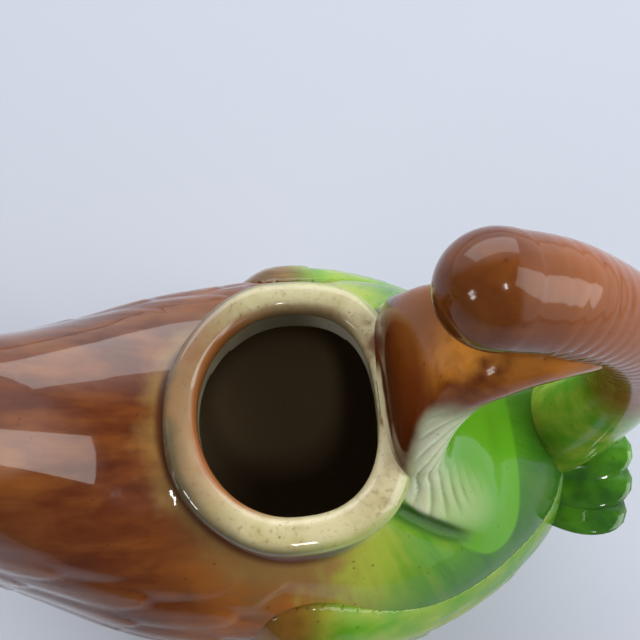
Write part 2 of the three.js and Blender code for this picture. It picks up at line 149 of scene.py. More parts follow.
# Dents in the body, as x from the mouth, y on the near flank and z from the table, in millimetres.
DIMPLE = [(-7, -42.5, 94.5), (-5.5, -43, 93.6), (3, -44.5, 92), (12, -46.5, 89), (20, -48, 85)]
CREASE = [(21, -23, 105), (25, -25, 102.5), (30, -27.4, 99.4), (36, -30, 96.2), (43, -32, 91.8), (49, -33, 87.4)]
CREASE_BELOW = (0, -1.4, -1.0)  # from the crease to the middle of the painted shade below it
TAIL_LENGTH, TAIL_HALF, TAIL_THICK = 0.0575, 0.0112, 0.0027  # one tail feather
TAIL_ROOT, TAIL_LIFT = (0.0505, 0.0485), 0.24  # x from the mouth, z from the table, and the fan's slope
TOES = [(-0.5, 0.034), (0.0, 0.0375), (0.5, 0.034)]  # bearing and length
WEB, TOE_HALF, WEB_CELL = 0.029, 0.0026, 0.0006  # reach of the web between toes, half a toe's width, mesh size
FEET, FEET_SPLAY = (-0.044, 0.021), 0.2  # x from the mouth, y of the right foot, and how far the feet turn out
NOSTRIL, NOSTRIL_HALF, NOSTRIL_DEPTH = (-0.1455, 0.0062), (0.0034, 0.0013), 0.0012
EYE, EYE_RADIUS = (-0.118, 0.0205, 0.171), 0.0052  # x from the mouth, y of the right eye, z from the table
FOOT = np.array([
    (4, 0, 42, 58, 58),
    (4, 3, 44, 60, 60),
    (4, 8, 43, 59, 59),
    (4, 15, 40, 56, 56),
    (4, 22, 38, 54, 54),
]) / 1000
FOOT_HOLLOW = np.array([
    (4, -10, 34, 50, 50),
    (4, 6, 30, 46, 46),
]) / 1000

# Area lamps: name, place, width, height, watts and colour.
LIGHTS = (
    ("window", (0.0, 1.15, 0.9), 1.8, 0.9, 12.5, (0.98, 0.99, 1.0)),
    ("fill", (1.0, -0.25, 0.95), 0.8, 1.4, 11.0, (1.0, 0.99, 0.97)),
    ("lamp_one", (-0.62, -0.22, 0.52), 0.08, 0.13, 0.40, (1.0, 0.98, 0.95)),
    ("lamp_two", (-0.56, -0.30, 0.47), 0.08, 0.10, 0.40, (1.0, 0.98, 0.95)),
    ("lamp_three", (0.08, -0.26, 0.78), 0.05, 0.10, 0.40, (1.0, 0.98, 0.95)),
)
FLOOR_COLOUR = (0.51, 0.54, 0.615, 1.0)
ROOM_COLOUR = (0.95, 0.97, 1.0, 1.0)
ROOM_DIM, ROOM_BRIGHT = 0.13, 1.10  # strength of the room, and what its bright sides add
AIM = (0.00963, 0.02197, 0.0)  # from the mouth's centre to the point that the camera looks at


def colour_property(name, words, value):
    return bpy.props.FloatVectorProperty(
        name=name, description=words, subtype="COLOR", size=3, min=0.0, max=1.0, default=value
    )


def length_property(name, words, value):
    return bpy.props.FloatProperty(
        name=name, description=words, subtype="DISTANCE", unit="LENGTH", min=0.0, default=value
    )


class PitcherGlaze(bpy.types.PropertyGroup):
    """Colours of the glazes, as linear RGB."""

    chestnut: colour_property("Chestnut", "Brown of the breast and the handle", (0.120, 0.027, 0.005))
    rust: colour_property("Rust", "Red brown where the glaze pools", (0.075, 0.014, 0.003))
    amber: colour_property("Amber", "Golden brown of the nape and the saddle", (0.27, 0.088, 0.013))
    tan: colour_property("Tan", "Thin glaze on the shoulder below the rim", (0.34, 0.20, 0.055))
    cream: colour_property("Cream", "Rim, saddle edges and neck ring", (0.64, 0.57, 0.35))
    moss: colour_property("Moss", "Yellow green of the shoulder and the back", (0.40, 0.47, 0.055))
    green: colour_property("Green", "Bright green of the back and the wings", (0.10, 0.32, 0.012))
    deep: colour_property("Deep green", "Dark green of the head, tail and lower flanks", (0.022, 0.10, 0.010))
    ochre: colour_property("Ochre", "Bill and feet", (0.50, 0.27, 0.055))
    ink: colour_property("Ink", "Pupils of the eyes", (0.014, 0.009, 0.004))


class PitcherRelief(bpy.types.PropertyGroup):
    """Sizes of the moulded relief."""

    voxel: length_property("Voxel", "Mesh size of the cast body", 0.00125)
    feather_length: length_property("Breast feather length", "Length of one breast feather", 0.024)
    feather_width: length_property("Breast feather width", "Width of one breast feather", 0.0115)
    feather_depth: length_property("Breast feather depth", "Relief of the breast feathers", 0.0012)
    dimple_width: length_property("Dimple width", "Half width of the dimple before each wing", 0.0042)
    dimple_depth: length_property("Dimple depth", "Depth of the dimple before each wing", 0.0012)
    crease_width: length_property("Crease width", "Half width of the crease under the saddle", 0.0015)
    crease_depth: length_property("Crease depth", "Depth of the crease under the saddle", 0.0012)
    wing_row: length_property("Wing row", "Nominal length of one row of wing feathers", 0.020)
    wing_depth: length_property("Wing feather depth", "Relief of the wing feathers", 0.0013)
    flute_pitch: length_property("Flute pitch", "Distance between two ridges on the saddle", 0.0034)
    flute_depth: length_property("Flute depth", "Relief of the ridges on the saddle", 0.0005)
    ring_pitch: length_property("Ring pitch", "Distance between two rings on the branch of the handle", 0.0030)
    ring_depth: length_property("Ring depth", "Relief of the rings on the branch of the handle", 0.0004)
    foot_pitch: length_property("Foot pitch", "Distance between two flutes on the foot", 0.0058)
    foot_depth: length_property("Foot depth", "Relief of the flutes on the foot", 0.0009)


class PitcherStage(bpy.types.PropertyGroup):
    """Camera."""

    lens: bpy.props.FloatProperty(
        name="Lens", description="Focal length in millimetres on a 36 mm sensor", min=10.0, default=35.0
    )
    distance: length_property("Distance", "Camera to the point that it looks at", 0.1628)
    azimuth: bpy.props.FloatProperty(
        name="Azimuth", description="Turn of the camera about +Z", subtype="ANGLE", default=math.radians(-4.88)
    )
    elevation: bpy.props.FloatProperty(
        name="Elevation", description="Height of the camera above the horizon", subtype="ANGLE",
        default=math.radians(64.97),
    )


# Curves and lofts


def catmull(points, share):
    """Points and slopes on a uniform Catmull-Rom curve at shares from 0 to 1."""
    padded = np.vstack([2 * points[0] - points[1], points, 2 * points[-1] - points[-2]])
    spans = len(points) - 1
    place = np.clip(np.asarray(share, float) * spans, 0, spans - 1e-9)
    index = place.astype(int)
    w = (place - index)[:, None]
    a, b, c, d = (padded[index + k] for k in range(4))
    start, end = (c - a) / 2, (d - b) / 2
    square, cube = 3 * (c - b) - 2 * start - end, 2 * (b - c) + start + end
    return b + start * w + square * w**2 + cube * w**3, start + 2 * square * w + 3 * cube * w**2


def turns(count):
    """Angles spread evenly over one turn."""
    return np.linspace(0, 2 * np.pi, count, endpoint=False)


def smoothstep(low, high, value):
    t = np.clip((value - low) / (high - low), 0, 1)
    return t * t * (3 - 2 * t)


def oval(angle, half, rise, drop, power):
    """Height and side of a rounded oval at an angle from its top."""
    c, s = np.cos(angle), np.sin(angle)
    reach = np.where(c > 0, rise, drop)
    radius = (np.abs(c / reach) ** power + np.abs(s / half) ** power) ** (-1 / power)
    return radius * c, radius * s


def spine_grid(sections, rows, columns, grow=0.0, power=2.0, bend=None, start=0.0, end=1.0):
    """Grid of points round a spine in the XZ plane, one ring of rounded oval to a row."""
    share = np.linspace(start, end, rows)
    values, slopes = catmull(sections, share)
    along = slopes[:, :2] / np.linalg.norm(slopes[:, :2], axis=1, keepdims=True)
    centre = values[:, :2].copy()
    centre[0] -= along[0] * grow
    centre[-1] += along[-1] * grow
    angle = turns(columns)
    half, rise, drop = (values[:, k, None] + grow for k in (2, 3, 4))
    lift, side = oval(angle[None], half, rise, drop, power)
    if bend is not None:
        lift = lift - catmull(bend[:, None], share)[0] * (side / half) ** 2
    up = np.stack([along[:, 1], -along[:, 0]], 1)
    grid = np.empty((rows, columns, 3))
    grid[:, :, 0] = centre[:, :1] + up[:, :1] * lift + MOUTH_X
    grid[:, :, 1] = side
    grid[:, :, 2] = centre[:, 1:] + up[:, 1:] * lift
    return grid


def skin(grid, closed=False):
    """Vertices and faces of a grid of rings, capped at both ends unless it closes on itself."""
    rows, columns = grid.shape[:2]
    spans = rows if closed else rows - 1
    i, j = np.meshgrid(np.arange(spans), np.arange(columns), indexing="ij")
    k, nxt = (j + 1) % columns, (i + 1) % rows
    quads = np.stack([i * columns + j, i * columns + k, nxt * columns + k, nxt * columns + j], -1).reshape(-1, 4)
    faces = quads.tolist()
    if not closed:
        faces.append(list(range(columns))[::-1])
        faces.append([(rows - 1) * columns + c for c in range(columns)])
    return grid.reshape(-1, 3), faces


def mouth_points(angle, out):
    """Outline of the mouth, moved outwards."""
    c, s = np.cos(angle), np.sin(angle)
    power = np.where(c > 0, 2 / MOUTH_FULLNESS, 1.0)
    reach = np.where(c > 0, MOUTH_BACK, MOUTH_FRONT)
    x = (reach + out) * np.sign(c) * np.abs(c) ** power
    y = (MOUTH_SIDE + out) * np.sign(s) * np.abs(s) ** power
    return x + MOUTH_X, y


def mouth_grid(outs, heights, columns=160):
    angle = turns(columns)
    grid = np.empty((len(outs), columns, 3))
    for row, (out, height) in enumerate(zip(outs, heights)):
        grid[row, :, 0], grid[row, :, 1] = mouth_points(angle, out)
        grid[row, :, 2] = height
    return grid


def shoulder_grid(grow=0.0):
    share = np.linspace(0, 1, 16)
    collar = RIM_WIDTH - 0.0014
    outs = collar + (0.016 - collar) * (1 - share) ** 2 + grow
    heights = RIM_TOP - 0.030 + (0.030 - RIM_HEIGHT * 0.6) * share
    return mouth_grid([0.016 + grow, *outs], [BODY[4, 1], *heights])


def saddle_grid(rows=120, columns=240):
    """Grid of the saddle, with each point's turn from its front and its way round the section."""
    grid = spine_grid(SADDLE[:, :5] + [0, RIM_TOP, 0, 0, 0], rows, columns, 0.0, SADDLE_FULLNESS, SADDLE[:, 5])
    grid[:, :, 1] += SADDLE_SHIFT * (1 - smoothstep(0.018, 0.040, grid[:, :, 2] - RIM_TOP))
    turn = turns(columns)
    edge = np.tile(np.abs(np.pi - turn) / np.pi, (rows, 1))
    way = np.cumsum(np.linalg.norm(grid - np.roll(grid, 1, 1), axis=2), axis=1)
    return grid, edge, np.abs(way - way[:, columns // 2, None])


def body_place(points):
    """Length along the body's spine at each point, its height over the spine and the section there."""
    shares = np.linspace(0, 1, 400)
    spine = catmull(BODY, shares)[0][:, :2]
    flat = points[:, [0, 2]] - [MOUTH_X, 0]
    nearest = np.empty(len(points), int)
    for first in range(0, len(points), 20000):
        part = flat[first:first + 20000]
        nearest[first:first + 20000] = ((part[:, None] - spine[None]) ** 2).sum(2).argmin(1)
    share = shares[nearest]
    for _ in range(6):
        values, slopes = catmull(BODY, share)
        speed = np.linalg.norm(slopes[:, :2], axis=1) * (len(BODY) - 1)
        along = slopes[:, :2] / np.linalg.norm(slopes[:, :2], axis=1, keepdims=True)
        share = np.clip(share + 0.7 * ((flat - values[:, :2]) * along).sum(1) / speed, 0, 1)
    values, slopes = catmull(BODY, share)
    along = slopes[:, :2] / np.linalg.norm(slopes[:, :2], axis=1, keepdims=True)
    height = (flat[:, 0] - values[:, 0]) * along[:, 1] - (flat[:, 1] - values[:, 1]) * along[:, 0]
    length = np.concatenate([[0], np.cumsum(np.linalg.norm(np.diff(spine, axis=0), axis=1))])
    return np.interp(share, shares, length), height, values


def flank(x, z):
    """Half width of the body at points seen from the side."""
    points = np.stack([x, np.zeros_like(x), z], 1)
    _, height, section = body_place(points)
    reach = np.where(height > 0, section[:, 3], section[:, 4])
    return section[:, 2] * np.clip(1 - np.abs(height / reach) ** FULLNESS, 0, 1) ** (1 / FULLNESS)


# Meshes


def mesh_object(name, vertices, faces, attributes=None):
    mesh = bpy.data.meshes.new(name)
    mesh.from_pydata(np.asarray(vertices).tolist(), [], faces)
    mesh.update()
    made = bpy.data.objects.new(name, mesh)
    bpy.context.scene.collection.objects.link(made)
    for key, values in (attributes or {}).items():
        set_attribute(made, key, values)
    return made


def vertices_of(thing):
    flat = np.empty(len(thing.data.vertices) * 3)
    thing.data.vertices.foreach_get("co", flat)
    return flat.reshape(-1, 3)


def set_attribute(thing, key, values):
    layer = thing.data.attributes.get(key) or thing.data.attributes.new(key, "FLOAT", "POINT")
    layer.data.foreach_set("value", np.asarray(values, np.float32).ravel())


def settle(thing):
    """Turns an object with modifiers into a plain mesh."""
    evaluated = thing.evaluated_get(bpy.context.evaluated_depsgraph_get())
    mesh = bpy.data.meshes.new_from_object(evaluated)
    thing.modifiers.clear()
    old = thing.data
    thing.data = mesh
    bpy.data.meshes.remove(old)
    return thing


def discard(*things):
    for thing in things:
        mesh = thing.data
        bpy.data.objects.remove(thing)
        bpy.data.meshes.remove(mesh)


def fuse(name, parts, voxel, rounds):
    """One smooth closed skin round several overlapping solids."""
    vertices, faces, count = [], [], 0
    for points, polygons in parts:
        vertices.append(points)
        faces += [[index + count for index in polygon] for polygon in polygons]
        count += len(points)
    made = mesh_object(name, np.vstack(vertices), faces)
    remesh = made.modifiers.new("Remesh", "REMESH")
    remesh.mode = "VOXEL"
    remesh.voxel_size = voxel
    smooth = made.modifiers.new("Smooth", "SMOOTH")
    smooth.factor = 0.5
    smooth.iterations = rounds
    return settle(made)


def refine(thing, chosen):
    """Splits every edge between chosen vertices in three and smooths the finer mesh."""
    shape = bmesh.new()
    shape.from_mesh(thing.data)
    edges = [edge for edge in shape.edges if all(chosen[vertex.index] for vertex in edge.verts)]
    count = len(shape.verts)
    bmesh.ops.subdivide_edges(shape, edges=edges, cuts=2, use_grid_fill=True)
    shape.verts.index_update()
    finer = [vertex for vertex in shape.verts if vertex.index >= count or chosen[vertex.index]]
    for _ in range(4):
        bmesh.ops.smooth_vert(shape, verts=finer, factor=0.5, use_axis_x=True, use_axis_y=True, use_axis_z=True)
    shape.to_mesh(thing.data)
    shape.free()
    thing.data.update()
    return vertices_of(thing)


def cut(thing, *cutters):
    """Takes the cutters' space out of a solid and removes the cutters."""
    for cutter in cutters:
        step = thing.modifiers.new("Cut", "BOOLEAN")
        step.operation = "DIFFERENCE"
        step.solver = "MANIFOLD"
        step.object = cutter
        settle(thing)
    discard(*cutters)
    return thing


def seat_cutters():
    """The duck's own solids, a little smaller, that luted pieces are trimmed to."""
    return (
        mesh_object("seat body", *skin(spine_grid(BODY, 80, 96, -SINK, FULLNESS))),
        mesh_object("seat head", *skin(spine_grid(HEAD, 40, 64, -SINK))),
        mesh_object("seat shoulder", *skin(shoulder_grid(-SINK))),
    )


def outline_distance(outline, points):
    """Signed distance to a closed outline, positive inside."""
    start, end = outline, np.roll(outline, -1, 0)
    edge = end - start
    best = np.full(len(points), np.inf)
    inside = np.zeros(len(points), bool)
    for a, b, e in zip(start, end, edge):
        w = np.clip(((points - a) @ e) / (e @ e), 0, 1)
        best = np.minimum(best, np.linalg.norm(points - a - w[:, None] * e, axis=1))
        crosses = (a[1] > points[:, 1]) != (b[1] > points[:, 1])
        reach = a[0] + (points[:, 1] - a[1]) * e[0] / (e[1] if e[1] else 1e-12)
        inside ^= crosses & (points[:, 0] < reach)
    return np.where(inside, best, -best)


def round_outline(corners, count=160):
    """Closed smooth outline through corners."""
    ring = np.vstack([corners[-2:], corners, corners[:3]])
    spans = len(ring) - 1
    share = np.linspace(2 / spans, (2 + len(corners)) / spans, count, endpoint=False)
    return catmull(ring, share)[0]


def sheet_solid(name, top, bottom, keep, attributes):
    """Closed solid between two grids of points, over the cells that are kept."""
    rows, columns = keep.shape
    number = np.arange(rows * columns).reshape(rows, columns)
    cells = keep[:-1, :-1] & keep[1:, :-1] & keep[:-1, 1:] & keep[1:, 1:]
    i, j = np.nonzero(cells)
    upper = np.stack([number[i, j], number[i + 1, j], number[i + 1, j + 1], number[i, j + 1]], 1)
    lower = upper[:, ::-1] + rows * columns
    edges = np.concatenate([upper[:, [k, (k + 1) % 4]] for k in range(4)])
    keys = set(map(tuple, edges.tolist()))
    walls = [[b, a, a + rows * columns, b + rows * columns] for a, b in keys if (b, a) not in keys]
    faces = upper.tolist() + lower.tolist() + walls
    used = np.unique(np.concatenate([np.ravel(face) for face in faces]))
    renumber = np.full(2 * rows * columns, -1)
    renumber[used] = np.arange(len(used))
    points = np.vstack([top.reshape(-1, 3), bottom.reshape(-1, 3)])[used]
    doubled = {key: np.concatenate([np.ravel(v), np.ravel(v)])[used] for key, v in attributes.items()}
    return mesh_object(name, points, [renumber[face].tolist() for face in faces], doubled)


# Node maths


class Field:
    """A node socket whose operators add the maths node that they name."""

    def __init__(self, tree, socket):
        self.tree = tree
        self.socket = socket

    def node(self, kind, *values, out=0, named=None, **settings):
        """Adds any other node, with values for its sockets by place or by name."""
        made = self.tree.nodes.new(kind)
        for key, value in settings.items():
            setattr(made, key, value)
        for socket, value in [*zip(made.inputs, values), *((made.inputs[k], v) for k, v in (named or {}).items())]:
            if isinstance(value, Field):
                self.tree.links.new(value.socket, socket)
            elif value is not None:
                socket.default_value = value
        return Field(self.tree, made.outputs[out])

    def maths(self, operation, *values):
        return self.node("ShaderNodeMath", *values, operation=operation)

    def __add__(self, other):
        return self.maths("ADD", self, other)

    def __sub__(self, other):
        return self.maths("SUBTRACT", self, other)

    def __mul__(self, other):
        return self.maths("MULTIPLY", self, other)

    def __truediv__(self, other):
        return self.maths("DIVIDE", self, other)

    def __pow__(self, other):
        return self.maths("POWER", self, other)

    def __radd__(self, other):
        return self.maths("ADD", other, self)

    def __rsub__(self, other):
        return self.maths("SUBTRACT", other, self)

    def __rmul__(self, other):
        return self.maths("MULTIPLY", other, self)

    def __rtruediv__(self, other):
        return self.maths("DIVIDE", other, self)

    def __abs__(self):
        return self.maths("ABSOLUTE", self)

    def ramp(self, low, high):
        """0 at low, 1 at high, smooth between."""
        named = {"Value": self, "From Min": low, "From Max": high}
        return self.node("ShaderNodeMapRange", named=named, interpolation_type="SMOOTHSTEP")

    def mix(self, first, second):
        """Colour from first to second as this goes from 0 to 1."""
        made = self.tree.nodes.new("ShaderNodeMix")
        made.data_type = "RGBA"
        for socket, value in zip((made.inputs[0], made.inputs[6], made.inputs[7]), (self, first, second)):
            if isinstance(value, Field):
                self.tree.links.new(value.socket, socket)
            else:
                socket.default_value = (*value, 1.0)
        return Field(self.tree, made.outputs[2])


# Geometry node trees


def relief_tree(name, sizes):
    """A tree with a geometry, a material and named sizes, and what its maths needs."""
    tree = bpy.data.node_groups.new(name, "GeometryNodeTree")
    tree.interface.new_socket("Geometry", in_out="OUTPUT", socket_type="NodeSocketGeometry")
    tree.interface.new_socket("Geometry", in_out="INPUT", socket_type="NodeSocketGeometry")
    tree.interface.new_socket("Material", in_out="INPUT", socket_type="NodeSocketMaterial")
    for size in sizes:
        tree.interface.new_socket(size, in_out="INPUT", socket_type="NodeSocketFloat")
    given = tree.nodes.new("NodeGroupInput")
    return tree, {socket.name: Field(tree, socket) for socket in given.outputs if socket.name}


def finish_relief(tree, given, height, offset):
    """Moves the surface along its normal, keeps the height for the glaze, and closes the tree."""
    some = given["Geometry"]
    normal = some.node("GeometryNodeInputNormal")
    push = some.node("ShaderNodeVectorMath", normal, operation="SCALE", named={"Scale": offset})
    moved = some.node("GeometryNodeSetPosition", named={"Geometry": some, "Offset": push})
    kept = some.node(
        "GeometryNodeStoreNamedAttribute", data_type="FLOAT", domain="POINT",
        named={"Geometry": moved, "Name": "relief", "Value": attribute(some, "relief") + height},
    )
    real = some.node("GeometryNodeRealizeInstances", kept)
    painted = some.node("GeometryNodeSetMaterial", named={"Geometry": real, "Material": given["Material"]})
    result = tree.nodes.new("NodeGroupOutput")
    tree.links.new(painted.socket, result.inputs[0])
    return tree


def attribute(field, key):
    return field.node("GeometryNodeInputNamedAttribute", key, data_type="FLOAT")


def feather_tree():
    """Rows of overlapping feathers, laid along one surface coordinate and staggered across the other."""
    tree, given = relief_tree("Feather relief", ["Length", "Width", "Depth", "Softness", "Overlap", "Jitter"])
    some = given["Length"]
    along, around, plume = (attribute(some, key) for key in ("along", "around", "plume"))
    noise = some.node("ShaderNodeTexNoise", named={"Scale": 42.0, "Detail": 1.0})
    along = along + (noise - 0.5) * given["Length"] * given["Jitter"]
    row = (along / given["Length"]).maths("FLOOR", along / given["Length"])

    def feather(index):
        stagger = index.maths("MODULO", index, 2.0) * 0.5
        across = (around / given["Width"] + stagger)
        across = across.maths("FRACT", across) - 0.5
        crown = 1.0 - 4.0 * across * across
        tip = (index + 1.2 + given["Overlap"] * crown) * given["Length"]
        climb = (along / given["Length"] - index) / (1.2 + given["Overlap"])
        shaft = abs(across).ramp(0.0, 0.07)
        return tip, climb * 0.55 + crown * 0.5 - (1.0 - shaft) * 0.1 - 0.1

    tip_over, height_over = feather(row - 1.0)
    _, height_under = feather(row)
    over = ((tip_over - along) / given["Softness"]).ramp(0.0, 1.0)
    height = height_under + (height_over - height_under) * over
    offset = (height - 0.45) * given["Depth"] * plume
    return finish_relief(tree, given, (height - 0.45) * plume, offset)


def flute_tree():
    """Rounded ridges with narrow grooves between them."""
    tree, given = relief_tree("Flute relief", ["Pitch", "Depth"])
    some = given["Pitch"]
    along, plume = attribute(some, "along"), attribute(some, "plume")
    phase = along / given["Pitch"]
    wave = phase.maths("FRACT", phase) * 2.0 - 1.0
    height = 1.0 - abs(wave) ** 2.6
    offset = (height - 0.7) * given["Depth"] * plume
    return finish_relief(tree, given, (height - 0.7) * plume, offset)


def fan_tree(blade):
    """Feather blades set round an arc."""
    tree, given = relief_tree("Feather fan", ["Count", "Half angle", "Step"])
    some = given["Count"]
    points = some.node("GeometryNodePoints", named={"Count": given["Count"]})
    index = some.node("GeometryNodeInputIndex")
    share = index / (given["Count"] - 1.0) * 2.0 - 1.0
    lift = (1.0 - abs(share)) * given["Step"]
    place = some.node("ShaderNodeCombineXYZ", named={"Z": lift})
    turn = some.node("ShaderNodeCombineXYZ", named={"Z": share * given["Half angle"], "X": share * 0.25})
    moved = some.node("GeometryNodeSetPosition", named={"Geometry": points, "Position": place})
    source = some.node("GeometryNodeObjectInfo", blade, out="Geometry")
    instances = some.node(
        "GeometryNodeInstanceOnPoints", named={"Points": moved, "Instance": source, "Rotation": turn},
    )
    real = some.node("GeometryNodeRealizeInstances", instances)
    painted = some.node("GeometryNodeSetMaterial", named={"Geometry": real, "Material": given["Material"]})
    result = tree.nodes.new("NodeGroupOutput")
    tree.links.new(painted.socket, result.inputs[0])
    return tree


def tree_once(name, make, *values):
    return bpy.data.node_groups.get(name) or make(*values)


def apply_tree(thing, tree, **inputs):
    """Runs a node tree on an object, with its inputs by name, and keeps the plain mesh."""
    names = {s.name: s.identifier for s in tree.interface.items_tree if s.in_out == "INPUT"}
    step = thing.modifiers.new(tree.name, "NODES")
    step.node_group = tree
    for key, value in inputs.items():
        step[names[key.replace("_", " ").capitalize()]] = value
    return settle(thing)


# Glazes: shades that one piece alone uses, as linear RGB

FLUSH = (0.36, 0.115, 0.016)  # orange brown on the flanks of the breast
WASH = (0.25, 0.145, 0.045)  # thin tan on the near shoulder
SHADOW = (0.032, 0.125, 0.009)  # painted shade below the crease
CREASE_POOL_AND_SHADE = (0.016, 0.06, 0.004)  # pooled glaze and painted shade in the crease
LINING = (0.25, 0.175, 0.095)  # inside of the hollow
CLAY = (0.16, 0.135, 0.075)  # bare collar under the rim
CLAY_PALE = (0.30, 0.28, 0.20)  # its paler grain
CLAY_LIT = (0.55, 0.52, 0.42)  # painted light on its far right part
IVORY = (0.50, 0.42, 0.25)  # clouds on the rim
STAIN = (0.33, 0.20, 0.09)  # mottling on the rim
UMBER = (0.27, 0.135, 0.055)  # left part of the rim
LICHEN = (0.46, 0.46, 0.15)  # sides of the rim
RIM_RUST = (0.23, 0.075, 0.022)  # upper left of the rim
OLIVE = (0.115, 0.095, 0.05)  # outer left of the rim
TOAST = (0.30, 0.16, 0.06)  # inner far edge of the rim
RIM_FOOT_SHADE = (0.075, 0.06, 0.032)  # painted shade at the foot of the rim on the left
LIME = (0.30, 0.38, 0.07)  # foot of the rim on the right
ORANGE = (0.30, 0.085, 0.014)  # inner left edge of the rim
GRAIN = (0.20, 0.13, 0.06)  # fine specks on the rim
SADDLE_PAINTED_SHEEN = (0.18, 0.038, 0.006)  # painted sheen on the upper part of the saddle
GOLD = (0.68, 0.26, 0.038)  # saddle under the branch
FLARE = (0.72, 0.74, 0.52)  # flare of the saddle
FLARE_GREEN = (0.55, 0.64, 0.35)  # runs on the flare
FLARE_REAR = (0.29, 0.46, 0.15)  # flare towards the tail
FLARE_GROOVE = (0.30, 0.34, 0.15)  # between the flutes
TERRACOTTA = (0.34, 0.098, 0.018)  # branch behind its rounded end
STRAW = (0.60, 0.38, 0.11)  # clouds on bill and feet


class Glaze:
    """A glossy glaze. The colour comes from a function of this object's coordinates and attributes."""

    def __init__(self, name, paint, fleck=0.5, sheen=None, blur=0.035):
        self.material = bpy.data.materials.new(name)
        self.material.use_nodes = True
        self.tree = self.material.node_tree
        self.shader = self.tree.nodes["Principled BSDF"]
        self.some = Field(self.tree, self.tree.nodes.new("ShaderNodeValue").outputs[0])
        self.place = self.some.node("ShaderNodeTexCoord", out="Object")
        split = self.tree.nodes.new("ShaderNodeSeparateXYZ")
        self.tree.links.new(self.place.socket, split.inputs[0])
        self.x, self.y, self.z = (Field(self.tree, socket) for socket in split.outputs)
        self.x = (self.x - MOUTH_X) * 1000.0
        self.y = self.y * 1000.0
        self.z = (self.z - RIM_TOP) * 1000.0
        self.relief = self.value("relief") + 0.5
        self.colours = bpy.context.scene.pitcher_glaze
        colour = self.flecked(paint(self), fleck)
        self.tree.links.new(colour.socket, self.shader.inputs["Base Color"])
        inside = self.value("inside").ramp(0.3, 0.7)
        coat = (1.0 - inside) * (sheen(self) if sheen else 1.0)
        self.tree.links.new(coat.socket, self.shader.inputs["Coat Weight"])
        rough = self.noise(60.0) * 0.12 + 0.1 + inside * 0.6
        self.tree.links.new(rough.socket, self.shader.inputs["Roughness"])
        self.shader.inputs["Coat Roughness"].default_value = blur
        self.shader.inputs["Specular IOR Level"].default_value = 0.1
        ripple = self.noise(170.0) * 0.6 + self.noise(55.0)
        bump = self.some.node(
            "ShaderNodeBump", named={"Strength": 0.16, "Distance": 0.0016, "Height": ripple},
        )
        self.tree.links.new(bump.socket, self.shader.inputs["Normal"])

    def value(self, key):
        """A number that the mesh carries at each point."""
        return self.some.node("ShaderNodeAttribute", out="Fac", attribute_name=key)

    def noise(self, scale, detail=2.0, stretch=None):
        place = self.place
        if stretch:
            place = self.some.node("ShaderNodeMapping", place, named={"Scale": stretch})
        return self.some.node("ShaderNodeTexNoise", named={"Vector": place, "Scale": scale, "Detail": detail})

    def flecked(self, colour, amount):
        """Small dark iron specks."""
        cells = self.tree.nodes.new("ShaderNodeTexVoronoi")
        cells.inputs["Scale"].default_value = 420.0
        self.tree.links.new(self.place.socket, cells.inputs["Vector"])
        near = Field(self.tree, cells.outputs["Distance"])
        pick = self.some.node("ShaderNodeSeparateColor", Field(self.tree, cells.outputs["Color"]))
        speck = (1.0 - near.ramp(0.08, 0.2)) * pick.ramp(0.8, 0.86) * amount
        return speck.mix(colour, self.colours.rust)

    def pooled(self, colour, dark, light, deep=0.8, thin=0.55):
        """Darker where the glaze pools in grooves, paler where it breaks over ridges."""
        low = (1.0 - self.relief.ramp(0.16, 0.5)) * deep
        high = self.relief.ramp(0.55, 0.95) * thin
        return high.mix(low.mix(colour, dark), light)


